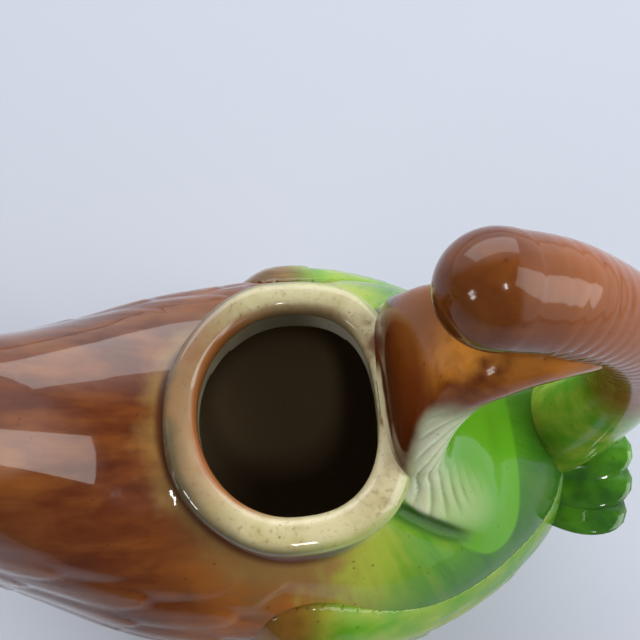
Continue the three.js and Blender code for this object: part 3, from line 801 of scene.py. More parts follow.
def body_paint(g):
    c = g.colours
    cloud, fine, run = g.noise(28.0, 3.0), g.noise(130.0, 3.0), g.noise(60.0, 3.0, (1.0, 1.0, 0.25))
    path = g.some.node("ShaderNodeCombineXYZ", g.value("along") * 45.0, g.value("around") * 210.0, cloud * 4.0)
    streak = g.some.node("ShaderNodeTexNoise", named={"Vector": path, "Scale": 1.0, "Detail": 3.0})
    brown = (streak * 0.6 + fine * 0.4).ramp(0.25, 0.62).mix(c.rust, c.chestnut)
    brown = ((streak * 0.5 + cloud * 0.7).ramp(0.52, 0.85) * 0.8).mix(brown, c.amber)
    low = (1.0 - (g.z + (cloud - 0.5) * 30.0).ramp(-46.0, -6.0)) * 0.75
    low = low.maths("MAXIMUM", low, (1.0 - g.x.ramp(-66.0, -40.0)) * abs(g.y).ramp(10.0, 30.0) * 0.6)
    brown = low.mix(brown, c.rust)
    flush = g.x.ramp(-44.0, -16.0) * abs(g.y).ramp(24.0, 40.0) * (cloud * 0.7 + fine * 0.4).ramp(0.3, 0.65) * 0.8
    brown = g.pooled(flush.mix(brown, FLUSH), c.rust, c.amber, 0.6, 0.4)
    ring = (g.x / 32.4) ** 2.0 + (g.y / 35.3) ** 2.0
    ring = ring.maths("SQRT", ring)
    fan = g.some.node("ShaderNodeCombineXYZ", g.y.maths("ARCTAN2", g.y, g.x) * 14.0, ring * 1.6, cloud * 2.0)
    brush = g.some.node("ShaderNodeTexNoise", named={"Vector": fan, "Scale": 1.0, "Detail": 3.0})
    pale = (run * 0.6 + cloud * 0.5).ramp(0.36, 0.8) * 0.5 + (1.0 - g.x.ramp(8.0, 26.0)) * 0.6
    moss = (pale + (brush - 0.5) * 1.1).ramp(0.0, 1.0).mix(c.green, c.moss)
    moss = ((1.0 - brush.ramp(0.30, 0.50)) * g.x.ramp(10.0, 26.0) * 0.45).mix(moss, c.deep)
    low = (1.0 - (g.z + (cloud - 0.5) * 26.0).ramp(-44.0, -10.0)) * 0.85
    moss = low.mix(moss, c.deep)
    shift = g.x + (cloud - 0.5) * 22.0 + (fine - 0.5) * 10.0 + (brush - 0.5) * 18.0 - abs(g.y) * 0.2
    thin = (1.0 - abs(shift - 4.0).ramp(3.0, 20.0)) * g.z.ramp(-36.0, -12.0)
    colour = shift.ramp(-8.0, 12.0).mix(brown, moss)
    colour = (thin * 0.9).mix(colour, (shift + (fine - 0.5) * 8.0).ramp(-10.0, 8.0).mix(c.tan, c.moss))
    halo = (1.0 - (ring + (fine - 0.5) * 0.4).ramp(0.98, 1.22)) * (1.0 - g.x.ramp(6.0, 22.0))
    colour = (halo * 0.6).mix(colour, c.tan)
    wash = 1.0 - (ring + (fine - 0.5) * 0.5 + (cloud - 0.5) * 0.5).ramp(1.0, 1.45)
    wash = wash * (1.0 - g.y.ramp(-26.0, -6.0)) * (1.0 - g.x.ramp(2.0, 16.0)) * g.x.ramp(-36.0, -14.0)
    colour = (wash * 0.7).mix(colour, WASH)
    # Painted shade in the groove round the foot of the rim.
    groove = (1.0 - ring.ramp(1.0, 1.06)) * 0.9
    colour = groove.mix(colour, g.x.ramp(0.0, 14.0).mix(c.rust, c.deep))
    colour = g.value("saddle").ramp(0.2, 0.8).mix(colour, saddle_paint(g))
    # Painted shade in a band below the crease.
    colour = (g.value("shade").ramp(0.1, 0.75) * 0.85).mix(colour, SHADOW)
    # Pooled glaze and painted shade along the crease under the flare.
    colour = (g.value("crease").ramp(0.1, 0.8) * 0.85).mix(colour, CREASE_POOL_AND_SHADE)
    neck = (g.x + 95.0) * -0.42 + (g.z - 13.0) * 0.9 + (fine - 0.5) * 3.0
    colour = (neck.ramp(12.0, 15.0) * (1.0 - neck.ramp(20.0, 23.0)) * 0.9).mix(colour, c.cream)
    crest = (fine * 0.6 + run * 0.5).ramp(0.3, 0.8).mix(c.deep, c.green)
    colour = neck.ramp(20.5, 24.0).mix(colour, (0.35 + cloud * 0.5).mix(crest, c.deep))
    collar = (g.z + (g.noise(36.0, 2.0) - 0.5) * 12.0).ramp(-17.0, -13.0)
    bare = (fine * 0.9).mix(CLAY, CLAY_PALE)
    # Painted light on the far right part of the bare collar.
    bare = (g.x.ramp(2.0, 14.0) * g.y.ramp(6.0, 18.0)).mix(bare, CLAY_LIT)
    lining = collar.mix(LINING, bare)
    return g.value("inside").ramp(0.3, 0.7).mix(colour, lining)


def body_sheen(g):
    """The glaze is thinner on the brown of the saddle, round the crease under its flare and low on the flanks."""
    saddle, edge, shade = (g.value(key) for key in ("saddle", "edge", "shade"))
    thin = saddle.ramp(0.2, 0.8) * (1.0 - edge.ramp(0.42, 0.50) * 0.5) * 0.62
    low = (1.0 - g.z.ramp(-32.0, -2.0)) * g.x.ramp(-70.0, -40.0) * 0.72
    return (1.0 - thin) * (1.0 - shade.ramp(0.004, 0.15) * 0.95) * (1.0 - low)


def wing_sheen(g):
    """Uneven coat, thinner than on the body."""
    return g.noise(40.0) * 0.2 + 0.55


def branch_sheen(g):
    """Uneven coat, thinner still."""
    return g.noise(40.0) * 0.2 + 0.38


def rim_paint(g):
    c = g.colours
    turn = g.value("turn")
    fine, cloud, grain = g.noise(150.0, 4.0), g.noise(45.0, 3.0), g.noise(800.0, 3.0)
    base = (cloud * 0.9).ramp(0.3, 0.8).mix(c.cream, IVORY)
    base = ((fine * 0.7 + cloud * 0.5).ramp(0.54, 0.80) * 0.5).mix(base, STAIN)
    warm = (1.0 - (g.x + (cloud - 0.5) * 14.0 + (fine - 0.5) * 10.0).ramp(-30.0, -6.0)) * 0.9
    base = warm.mix(base, UMBER)
    sides = abs(g.y).ramp(14.0, 34.0) * (fine * 0.8).ramp(0.1, 0.7) * 0.45
    base = sides.mix(base, LICHEN)
    left = 1.0 - (g.x + (cloud - 0.5) * 16.0).ramp(-28.0, -8.0)
    rust = left * (g.y + (cloud - 0.5) * 20.0).ramp(2.0, 20.0) * (cloud * 0.6 + fine * 0.5).ramp(0.36, 0.6) * 0.8
    base = rust.mix(base, RIM_RUST)
    band = turn + (cloud - 0.5) * 0.14 + (fine - 0.5) * 0.08
    olive = left * (1.0 - (g.y + (fine - 0.5) * 8.0).ramp(-6.0, 3.0)) * (1.0 - band.ramp(0.20, 0.31)) * 0.9
    base = olive.mix(base, OLIVE)
    browned = band.ramp(0.29, 0.40) * (g.y + (cloud - 0.5) * 16.0).ramp(10.0, 26.0) * 0.6
    base = browned.mix(base, TOAST)
    # Painted shade along the foot of the rim, dark on the left and lime green on the right.
    outer = (1.0 - (turn + (fine - 0.5) * 0.1).ramp(0.09, 0.23)) * 0.85
    base = outer.mix(base, g.x.ramp(-6.0, 14.0).mix(RIM_FOOT_SHADE, LIME))
    inner = band.ramp(0.31, 0.41) * (1.0 - g.x.ramp(-16.0, 2.0)) * 0.85
    base = inner.mix(base, ORANGE)
    stain = (fine * 0.5 + cloud * 0.6).ramp(0.56, 0.66) * g.x.ramp(19.0, 23.0) * 0.8
    base = stain.mix(base, c.chestnut)
    base = (grain.ramp(0.54, 0.74) * 0.4).mix(base, GRAIN)
    under = (turn + (fine - 0.5) * 0.05).ramp(0.52, 0.62)
    return under.mix(base, c.rust)


def saddle_paint(g):
    c = g.colours
    edge = g.value("edge")
    fine, cloud, run = g.noise(140.0, 3.0), g.noise(40.0, 3.0), g.noise(70.0, 3.0, (1.0, 1.0, 0.3))
    brown = (fine * 0.5 + run * 0.6).ramp(0.4, 0.8).mix(c.rust, c.chestnut)
    # Painted sheen, lighter and redder, on the upper part of the saddle.
    brown = ((g.z + (cloud - 0.5) * 12.0).ramp(6.0, 22.0) * 0.8).mix(brown, SADDLE_PAINTED_SHEEN)
    far = (g.z + (cloud - 0.5) * 10.0).ramp(10.0, 26.0) * (g.y + (fine - 0.5) * 6.0).ramp(-4.0, 8.0)
    brown = (far * 0.8).mix(brown, c.amber)
    gold = (g.z + (cloud - 0.5) * 14.0).ramp(22.0, 34.0) * (1.0 - g.y.ramp(-3.0, 9.0))
    gold = gold * (g.y + (cloud - 0.5) * 8.0).ramp(-15.0, -5.0)
    gold = gold * (fine * 0.7 + run * 0.6).ramp(0.42, 0.64)
    brown = gold.mix(brown, GOLD)
    burnt = g.noise(85.0, 4.0).ramp(0.50, 0.70) * 0.45
    brown = burnt.mix(brown, c.rust)
    lip = (1.0 - (g.z + (fine - 0.5) * 2.0).ramp(0.0, 1.4)) * (1.0 - edge.ramp(0.3, 0.46)) * (1.0 - g.y.ramp(4.0, 10.0))
    brown = lip.mix(brown, c.cream)
    pale = (fine * 0.5 + run * 0.6).ramp(0.35, 0.75).mix(FLARE, FLARE_GREEN)
    pale = ((g.x + (cloud - 0.5) * 8.0).ramp(30.0, 40.0) * 0.8).mix(pale, FLARE_REAR)
    pale = g.pooled(pale, FLARE_GROOVE, c.cream, 0.32, 0.4)
    pale = (1.0 - (g.z + (cloud - 0.5) * 7.0).ramp(-24.0, -12.0)).mix(pale, c.green)
    rear = (edge + (cloud - 0.5) * 0.06).ramp(0.54, 0.62) * (1.0 - g.z.ramp(16.0, 26.0))
    pale = rear.mix(pale, c.green)
    top = g.z + g.y.ramp(-4.0, 4.0) * 34.0 + (fine - 0.5) * 5.0
    start = edge + (fine - 0.5) * 0.03 + g.z.ramp(6.0, 22.0) * 0.06
    skirt = start.ramp(0.415, 0.475) * (1.0 - top.ramp(20.0, 30.0))
    return skirt.mix(brown, pale)


def branch_paint(g):
    c = g.colours
    fine, cloud = g.noise(140.0, 3.0), g.noise(36.0, 3.0)
    brown = (fine * 0.45 + cloud * 0.65).ramp(0.45, 0.85).mix(c.chestnut, c.amber)
    brown = ((g.x + (cloud - 0.5) * 16.0).ramp(36.0, 58.0) * 0.7).mix(brown, TERRACOTTA)
    brown = g.pooled(brown, c.rust, c.amber, 0.7, 0.5)
    root = (1.0 - (g.z + (cloud - 0.5) * 14.0).ramp(-12.0, 10.0)) * g.x.ramp(66.0, 74.0)
    return root.mix(brown, (fine * 0.6 + cloud * 0.5).ramp(0.4, 0.8).mix(c.green, c.moss))


def wing_paint(g):
    c = g.colours
    fine, cloud, run = g.noise(140.0, 3.0), g.noise(34.0, 3.0), g.noise(80.0, 3.0, (0.3, 1.0, 1.0))
    green = (fine * 0.4 + run * 0.7).ramp(0.4, 0.8).mix(c.green, c.moss)
    low = (1.0 - (g.z + (cloud - 0.5) * 18.0).ramp(-66.0, -26.0)) * 0.8
    green = low.mix(green, c.deep)
    brown = (fine * 0.5 + run * 0.6).ramp(0.4, 0.8).mix(c.chestnut, c.amber)
    front = (1.0 - (g.x + (cloud - 0.5) * 18.0).ramp(-4.0, 14.0)) * 0.9
    green = g.pooled(green, c.deep, c.moss, 0.8, 0.6)
    return front.mix(green, g.pooled(brown, c.rust, c.amber, 0.8, 0.5))


def tail_paint(g):
    c = g.colours
    fine, run = g.noise(140.0, 3.0), g.noise(60.0, 3.0, (0.3, 1.0, 1.0))
    return (fine * 0.5 + run * 0.6).ramp(0.38, 0.8).mix(c.deep, c.green)


def foot_paint(g):
    c = g.colours
    fine, cloud, run = g.noise(140.0, 3.0), g.noise(40.0, 3.0), g.noise(70.0, 3.0, (1.0, 1.0, 0.3))
    green = (run * 0.8 + cloud * 0.3).ramp(0.38, 0.75).mix(c.deep, c.green)
    bare = 1.0 - (g.z + RIM_TOP * 1000.0 + (fine - 0.5) * 1.5).ramp(1.0, 2.2)
    return bare.mix(g.pooled(green, c.deep, c.green, 0.5, 0.4), c.tan)


def bill_paint(g):
    c = g.colours
    fine, cloud = g.noise(150.0, 3.0), g.noise(50.0, 3.0)
    ochre = (fine * 0.5 + cloud * 0.6).ramp(0.35, 0.8).mix(c.ochre, STRAW)
    return g.pooled(ochre, c.chestnut, c.tan, 0.8, 0.3)


def eye_paint(g):
    c = g.colours
    reach = (g.x - EYE[0] * 1000.0) ** 2.0 + (g.z + (RIM_TOP - EYE[2]) * 1000.0) ** 2.0
    reach = reach.maths("SQRT", reach) + (g.noise(300.0) - 0.5) * 0.5
    ring = reach.ramp(2.3, 2.7)
    return reach.ramp(3.7, 4.1).mix(ring.mix(c.ink, c.ochre), c.rust)


def glaze(name, paint, **settings):
    return bpy.data.materials.get(name) or Glaze(name, paint, **settings).material


def hand_over(thing, material, slot, *nodes):
    """Gives a finished piece its glaze and its place in the frame."""
    if material is not None:
        thing.data.materials.clear()
        thing.data.materials.append(material)
    thing.data.shade_smooth()
    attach(thing, "root")
    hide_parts(*nodes)


# Operators


class PITCHER_OT_body(bpy.types.Operator):
    """Cast body, neck, head and saddle under one skin of glaze, with the hollow and the breast feathers"""

    bl_idname = "pitcher.body"
    bl_label = "Body and saddle"

    def execute(self, context):
        sizes = context.scene.pitcher_relief
        parts = [
            skin(spine_grid(BODY, 160, 200, 0.0, FULLNESS)),
            skin(spine_grid(HEAD, 70, 120)),
            skin(shoulder_grid()),
            skin(saddle_grid()[0]),
        ]
        body = fuse("duck_body", parts, sizes.voxel, 14)
        self.soften(body)
        points = vertices_of(body)
        fine = (self.flutes(points)["plume"] > 0.01) | (self.groove(points, CREASE, sizes.crease_width * 3) > 0.1)
        points = refine(body, fine)
        for path, width, depth in (
            (DIMPLE, sizes.dimple_width, sizes.dimple_depth),
            (CREASE, sizes.crease_width, sizes.crease_depth),
        ):
            groove = self.groove(points, path, width)
            self.press(body, points, groove * depth)
        # Kept for the glaze: pooled glaze and painted shade along the crease.
        set_attribute(body, "crease", groove)
        # Where the painted shade below the crease goes.
        below = np.asarray(CREASE) + CREASE_BELOW
        set_attribute(body, "shade", self.groove(points, below, sizes.crease_width * 1.5))
        material = glaze("Body glaze", body_paint, sheen=body_sheen)
        flutes = self.flutes(points)
        for key in ("saddle", "edge", "along", "plume"):
            set_attribute(body, key, flutes[key])
        apply_tree(
            body, tree_once("Flute relief", flute_tree), material=material,
            pitch=sizes.flute_pitch, depth=sizes.flute_depth,
        )
        self.feathers(body, points, flutes["saddle"])
        apply_tree(
            body, tree_once("Feather relief", feather_tree), material=material,
            length=sizes.feather_length, width=sizes.feather_width, depth=sizes.feather_depth,
            softness=0.003, overlap=0.6, jitter=0.45,
        )
        cut(body, *self.hollow())
        hand_over(body, None, "chestnut_glaze", "body_shell", "head_shell", "handle_saddle")
        return {"FINISHED"}

    def soften(self, body):
        """Rounds off the corner where the saddle stands on the back."""
        points = vertices_of(body)
        _, height, section = body_place(points)
        reach = np.where(height > 0, section[:, 3], section[:, 4])
        across, up = np.abs(points[:, 1] / section[:, 2]), np.abs(height / reach)
        level = (across**FULLNESS + up**FULLNESS) ** (1 / FULLNESS)
        gap = np.abs(level - 1) * reach
        near = np.exp(-((gap / 0.008) ** 2)) * self.flutes(points)["near"]
        group = body.vertex_groups.new(name="corner")
        for index in np.nonzero(near > 0.02)[0]:
            group.add([int(index)], float(near[index]), "REPLACE")
        smooth = body.modifiers.new("Corner", "SMOOTH")
        smooth.factor, smooth.iterations, smooth.vertex_group = 0.5, 200, "corner"
        settle(body)

    def flutes(self, points):
        """Where the saddle is, and the layout of the ridges on its flare."""
        grid, edge, way = saddle_grid()
        vertices, faces = skin(grid)
        tree = BVHTree.FromPolygons(vertices.tolist(), faces)
        quads = np.array(faces[:-2])
        low, high = vertices.min(0) - 0.004, vertices.max(0) + 0.004
        close = np.nonzero(((points > low) & (points < high)).all(1))[0]
        found = [tree.find_nearest(points[index]) for index in close]
        spot = np.array([place for place, _, _, _ in found])
        corner = quads[np.minimum([face for _, _, face, _ in found], len(quads) - 1)]
        first, across, down = (vertices[corner[:, k]] for k in (0, 1, 3))
        u, v = (
            np.clip(((spot - first) * (side - first)).sum(1) / ((side - first) ** 2).sum(1), 0, 1)
            for side in (across, down)
        )

        def carried(values, default):
            result = np.full(len(points), default)
            a, b, c, d = (values.ravel()[corner[:, k]] for k in range(4))
            result[close] = (1 - v) * ((1 - u) * a + u * b) + v * ((1 - u) * d + u * c)
            return result

        gap = np.ones(len(points))
        gap[close] = [distance for _, _, _, distance in found]
        on_saddle = 1 - smoothstep(0.0026, 0.0045, gap)
        edge, way = carried(edge, 0.0), carried(way, 0.0)
        z = (points[:, 2] - RIM_TOP) * 1000
        top = 28 - 32 * smoothstep(-0.004, 0.004, points[:, 1])
        start = 0.445 - 0.06 * smoothstep(6, 22, z)
        plume = smoothstep(start, start + 0.04, edge) * (1 - smoothstep(0.54, 0.62, edge))
        plume *= (1 - smoothstep(top - 8, top, z)) * smoothstep(-17, -10, z) * on_saddle
        return {
            "saddle": on_saddle, "near": np.exp(-((gap / 0.008) ** 2)), "edge": edge,
            "along": way + 0.1 + 0.0005 * np.sin(z / 9), "plume": plume,
        }

    def feathers(self, body, points, on_saddle):
        """Lays out the breast feathers along the spine and round the body."""
        length, height, section = body_place(points)
        angle = np.arctan2(points[:, 1], height)
        radius = (section[:, 2] + section[:, 3]) / 2
        x, z = (points[:, 0] - MOUTH_X) * 1000, (points[:, 2] - RIM_TOP) * 1000
        plume = smoothstep(28, 44, np.abs(angle * radius) * 1000) * smoothstep(-2, -16, x)
        plume *= (1 - smoothstep(18, 34, z)) * (1 - on_saddle)
        set_attribute(body, "along", 0.4 - length)
        set_attribute(body, "around", angle * radius)
        set_attribute(body, "plume", plume)
        set_attribute(body, "inside", np.zeros(len(points)))

    def groove(self, points, path, width):
        """Strength, at each point, of a groove along a path and its mirror image, with tapered ends."""
        path = catmull(np.asarray(path) / 1000, np.linspace(0, 1, 40))[0]
        flat = points * [1, 0, 1] - [MOUTH_X, 0, 0] - np.abs(points * [0, 1, 0])
        gap = np.full(len(points), np.inf)
        share = np.zeros(len(points))
        for number, spot in enumerate(path):
            distance = np.linalg.norm(flat - spot, axis=1)
            share[distance < gap] = number / len(path)
            gap = np.minimum(gap, distance)
        return np.exp(-((gap / width) ** 2)) * smoothstep(0.0, 0.15, share) * (1 - smoothstep(0.55, 1.0, share))

    def press(self, body, points, depth):
        """Moves each vertex inwards along its normal."""
        normal = np.empty(len(points) * 3)
        body.data.vertices.foreach_get("normal", normal)
        points -= normal.reshape(-1, 3) * depth[:, None]
        body.data.vertices.foreach_set("co", points.ravel())
        body.data.update()

    def hollow(self):
        """Solids of the hollow, marked as the inside."""
        heights = np.linspace(BODY[4, 1], RIM_TOP + 0.006, 40)
        mouth = mouth_grid(np.full(40, 0.0005), heights)
        grids = (
            spine_grid(BODY, 90, 96, -WALL, FULLNESS, start=0.09),
            spine_grid(HEAD, 30, 48, -WALL, start=0.12, end=0.86),
            spine_grid(SPOUT, 2, 40),
            mouth,
        )
        made = [mesh_object("hollow", *skin(grid)) for grid in grids]
        for thing in made:
            set_attribute(thing, "inside", np.ones(len(thing.data.vertices)))
        return made


class PITCHER_OT_rim(bpy.types.Operator):
    """Rolled rim round the mouth"""

    bl_idname = "pitcher.rim"
    bl_label = "Rim"

    def execute(self, context):
        steps, around = 300, 48
        angle = turns(steps)
        turn = turns(around)
        wobble = 0.00022 * np.sin(3 * angle + 0.6) + 0.00016 * np.sin(7 * angle + 2.1)
        grid = np.empty((steps, around, 3))
        for column, t in enumerate(turn):
            c, s = np.cos(t), np.sin(t)
            out = RIM_WIDTH / 2 * (1 + np.sign(c) * abs(c) ** RIM_ROUND)
            rise = RIM_HEIGHT / 2 * (1 + np.sign(s) * abs(s) ** RIM_ROUND)
            x, y = mouth_points(-angle, out + wobble * (0.5 + 0.5 * c))
            grid[:, column, 0], grid[:, column, 1] = x, y
            grid[:, column, 2] = RIM_TOP - RIM_HEIGHT + rise + wobble * (0.5 + 0.5 * s) - 0.0004
        vertices, faces = skin(grid, closed=True)
        rim = mesh_object("rolled_rim", vertices, faces, {"turn": np.tile(turn / (2 * np.pi), steps)})
        hand_over(rim, glaze("Rim glaze", rim_paint), "cream_glaze", "mouth_rim")
        return {"FINISHED"}


class PITCHER_OT_handle(bpy.types.Operator):
    """Branch of the handle, with its rounded free end"""

    bl_idname = "pitcher.handle"
    bl_label = "Handle"

    def execute(self, context):
        sizes = context.scene.pitcher_relief
        thumb, crook = BRANCH[0], BRANCH[1]
        end = (thumb[:2] - crook[:2]) / np.linalg.norm(thumb[:2] - crook[:2])
        cap = np.array([
            (*(thumb[:2] + end * thumb[2] * share), thumb[2] * math.sqrt(1 - share**2))
            for share in (0.995, 0.96, 0.88, 0.74, 0.54, 0.28)
        ])
        path = np.vstack([cap, catmull(BRANCH, np.linspace(0, 1, 60))[0]])
        sections = np.stack([path[:, 0], path[:, 1] + RIM_TOP, path[:, 2], path[:, 2], path[:, 2]], 1)
        grid = spine_grid(sections, 220, 80)
        vertices, faces = skin(grid)
        x = (vertices[:, 0] - MOUTH_X) * 1000
        middle = grid.mean(1)
        length = np.concatenate([[0], np.cumsum(np.linalg.norm(np.diff(middle, axis=0), axis=1))])
        below = ((middle[:, None, 2] - grid[:, :, 2]) / (grid[:, :, 2].max(1) - middle[:, 2])[:, None]).ravel()
        branch = mesh_object("handle_branch", vertices, faces, {
            "along": np.repeat(length, 80),
            "plume": smoothstep(42, 52, x) * (1 - smoothstep(64, 78, x)) * (0.2 + 0.8 * smoothstep(-0.5, 0.4, below)),
        })
        apply_tree(
            branch, tree_once("Flute relief", flute_tree), pitch=sizes.ring_pitch, depth=sizes.ring_depth,
            material=glaze("Branch glaze", branch_paint, sheen=branch_sheen, blur=0.075),
        )
        cut(branch, *seat_cutters())
        hand_over(branch, None, "brown_glaze", "handle_loop")
        return {"FINISHED"}


class PITCHER_OT_wings(bpy.types.Operator):
    """Folded wings with three tiers of feathers"""

    bl_idname = "pitcher.wings"
    bl_label = "Wings"

    def execute(self, context):
        for side, node in ((-1, "left_wing"), (1, "right_wing")):
            self.wing(side, node, context.scene.pitcher_relief)
        return {"FINISHED"}

    def wing(self, side, node, sizes):
        outline = round_outline(WING_OUTLINE)
        x, z = np.meshgrid(np.arange(-0.021, 0.091, WING_CELL), np.arange(0.030, 0.099, WING_CELL), indexing="ij")
        flat = np.stack([x.ravel(), z.ravel()], 1)
        depth = outline_distance(outline, flat)
        step = 5e-4
        climb = np.stack([outline_distance(outline, flat + offset) for offset in ((step, 0), (0, step))], 1)
        climb = (climb - depth[:, None]) / step
        flat = np.where((depth < 0)[:, None], flat - climb * depth[:, None], flat)
        half = flank(flat[:, 0] + MOUTH_X, flat[:, 1])
        slope_x = (flank(flat[:, 0] + step + MOUTH_X, flat[:, 1]) - half) / step
        slope_z = (flank(flat[:, 0] + MOUTH_X, flat[:, 1] + step) - half) / step
        normal = np.stack([-slope_x, np.ones_like(half), -slope_z], 1)
        normal /= np.linalg.norm(normal, axis=1, keepdims=True)
        full = WING_THICK + WING_SWELL * (1 - smoothstep(0.0, 0.06, flat[:, 0]))
        edge = np.clip(depth / WING_EDGE, 0, 1)
        thick = np.where(depth > 0, full * (1 - (1 - edge) ** 2), -0.0004)
        base = np.stack([flat[:, 0] + MOUTH_X, half, flat[:, 1]], 1)
        top, bottom = base + normal * thick[:, None], base - normal * WING_SINK
        for points in (top, bottom):
            points[:, 1] *= side
        keep = (depth > -0.0012).reshape(x.shape)
        shape = (*x.shape, 3)
        rows = np.interp(flat[:, 0] * 1000 - (flat[:, 1] * 1000 - 66) * 0.22, WING_ROWS, np.arange(len(WING_ROWS)))
        front, tip = outline[:, 0].argmin(), outline[:, 0].argmax()
        crest = np.interp(flat[:, 0], outline[front:tip + 1, 0], outline[front:tip + 1, 1])
        hem = np.roll(outline, -tip, 0)[:(front - tip) % len(outline) + 1][::-1]
        hem = np.interp(flat[:, 0], hem[:, 0], hem[:, 1])
        span = np.clip((flat[:, 1] - hem) / np.maximum(crest - hem, 0.004), -0.2, 1.2)
        attributes = {
            "along": 0.05 + rows * sizes.wing_row,
            "around": span * 0.060,
            "plume": smoothstep(0.002, WING_EDGE, depth),
        }
        if side < 0:
            wing = sheet_solid("glazed_" + node, top.reshape(shape), bottom.reshape(shape), keep, attributes)
        else:
            wing = sheet_solid("glazed_" + node, bottom.reshape(shape), top.reshape(shape), keep, attributes)
        apply_tree(
            wing, tree_once("Feather relief", feather_tree), material=glaze("Wing glaze", wing_paint, sheen=wing_sheen),
            length=sizes.wing_row, width=0.010, depth=sizes.wing_depth, softness=0.0025, overlap=0.7, jitter=0.1,
        )
        hand_over(wing, None, "green_glaze", node)


class PITCHER_OT_tail(bpy.types.Operator):
    """Fan of tail feathers"""

    bl_idname = "pitcher.tail"
    bl_label = "Tail"

    def execute(self, context):
        share = np.linspace(0, 1, 40)
        width = np.sqrt(1 - np.clip((share - 0.72) / 0.285, 0, 1) ** 2)
        width *= TAIL_HALF * np.clip(1.15 - 0.4 * (1 - share), 0, 1)
        thick = TAIL_THICK * (1 - 0.45 * share) * np.sqrt(1 - np.clip((share - 0.8) / 0.205, 0, 1) ** 2)
        angle = turns(28)
        grid = np.empty((40, 28, 3))
        grid[:, :, 0] = (share * TAIL_LENGTH)[:, None]
        grid[:, :, 1] = -width[:, None] * np.sin(angle)
        ridge = 1 + 0.25 * np.exp(-((np.sin(angle) / 0.16) ** 2)) * (np.cos(angle) > 0)
        grid[:, :, 2] = thick[:, None] * np.cos(angle) * ridge + (0.0035 * share**2)[:, None]
        vertices, faces = skin(grid)
        blade = mesh_object("tail blade", vertices, faces)
        tail = mesh_object("tail_fan", [(0, 0, 0)], [])
        apply_tree(
            tail, tree_once("Feather fan", fan_tree, blade), material=glaze("Tail glaze", tail_paint),
            count=7.0, half_angle=0.54, step=0.0019,
        )
        discard(blade)
        points = vertices_of(tail)
        c, s = math.cos(TAIL_LIFT), math.sin(TAIL_LIFT)
        x = points[:, 0] * c - points[:, 2] * s + MOUTH_X + TAIL_ROOT[0]
        z = points[:, 0] * s + points[:, 2] * c + TAIL_ROOT[1]
        tail.data.vertices.foreach_set("co", np.stack([x, points[:, 1], z], 1).ravel())
        tail.data.update()
        cut(tail, *seat_cutters())
        hand_over(tail, None, "green_glaze", "tail_feathers")
        return {"FINISHED"}


class PITCHER_OT_foot(bpy.types.Operator):
    """Oval foot, hollowed below, and the two webbed feet"""

    bl_idname = "pitcher.foot"
    bl_label = "Foot"

    def execute(self, context):
        self.ring(context.scene.pitcher_relief)
        for side, node in ((-1, "left_webbed_foot"), (1, "right_webbed_foot")):
            self.webbed(side, node)
        return {"FINISHED"}

    def ring(self, sizes):
        vertices, faces = skin(spine_grid(FOOT, 60, 260))
        angle = np.arctan2(vertices[:, 1], vertices[:, 0] - MOUTH_X - 0.004)
        tall = vertices[:, 2] * 1000
        ring = mesh_object("foot_ring", vertices, faces, {
            "along": angle * 0.05 + 0.3 + 0.0012 * np.sin(angle * 9) * tall / 10,
            "plume": smoothstep(3, 9, tall) * (1 - smoothstep(19, 22, tall)),
        })
        apply_tree(
            ring, tree_once("Flute relief", flute_tree), material=glaze("Foot glaze", foot_paint),
            pitch=sizes.foot_pitch, depth=sizes.foot_depth,
        )
        cut(ring, mesh_object("foot hollow", *skin(spine_grid(FOOT_HOLLOW, 2, 120))), *seat_cutters())
        hand_over(ring, None, "green_glaze", "oval_foot")

    def webbed(self, side, node):
        corners = [(0.006, -0.006)]
        for number, (angle, reach) in enumerate(TOES):
            for turn, share in ((-0.1, 0.93), (0.0, 1.0), (0.1, 0.93)):
                corners.append((-reach * share * math.cos(angle + turn), reach * share * math.sin(angle + turn)))
            if number < 2:
                corners.append((-WEB * math.cos(angle + 0.25), WEB * math.sin(angle + 0.25)))
        corners.append((0.006, 0.006))
        outline = round_outline(np.array(corners), 240)
        x, y = np.meshgrid(np.arange(-0.040, 0.010, WEB_CELL), np.arange(-0.024, 0.024, WEB_CELL), indexing="ij")
        flat = np.stack([x.ravel(), y.ravel()], 1)
        depth = outline_distance(outline, flat)
        bearing = np.arctan2(flat[:, 1], -flat[:, 0])
        reach = np.hypot(flat[:, 0], flat[:, 1])
        toe = np.max([np.exp(-(((bearing - a) * reach / TOE_HALF) ** 2)) for a, _ in TOES], axis=0)
        body = 0.0038 + 0.0028 * toe + 0.0012 * (1 - smoothstep(0, 0.04, reach))
        edge = np.clip(depth / 0.0032, 0, 1)
        height = body * np.sqrt(1 - (1 - edge) ** 2) + 0.0001
        c, s = math.cos(FEET_SPLAY), math.sin(-side * FEET_SPLAY)
        px = flat[:, 0] * c - flat[:, 1] * s + MOUTH_X + FEET[0]
        py = flat[:, 0] * s + flat[:, 1] * c + side * FEET[1]
        top = np.stack([px, py, height], 1).reshape(*x.shape, 3)
        bottom = np.stack([px, py, np.zeros_like(px)], 1).reshape(*x.shape, 3)
        keep = (depth > 0).reshape(x.shape)
        foot = sheet_solid("glazed_" + node, top, bottom, keep, {"relief": 0.4 * toe - 0.15})
        hand_over(foot, glaze("Bill glaze", bill_paint), "ochre_glaze", node)


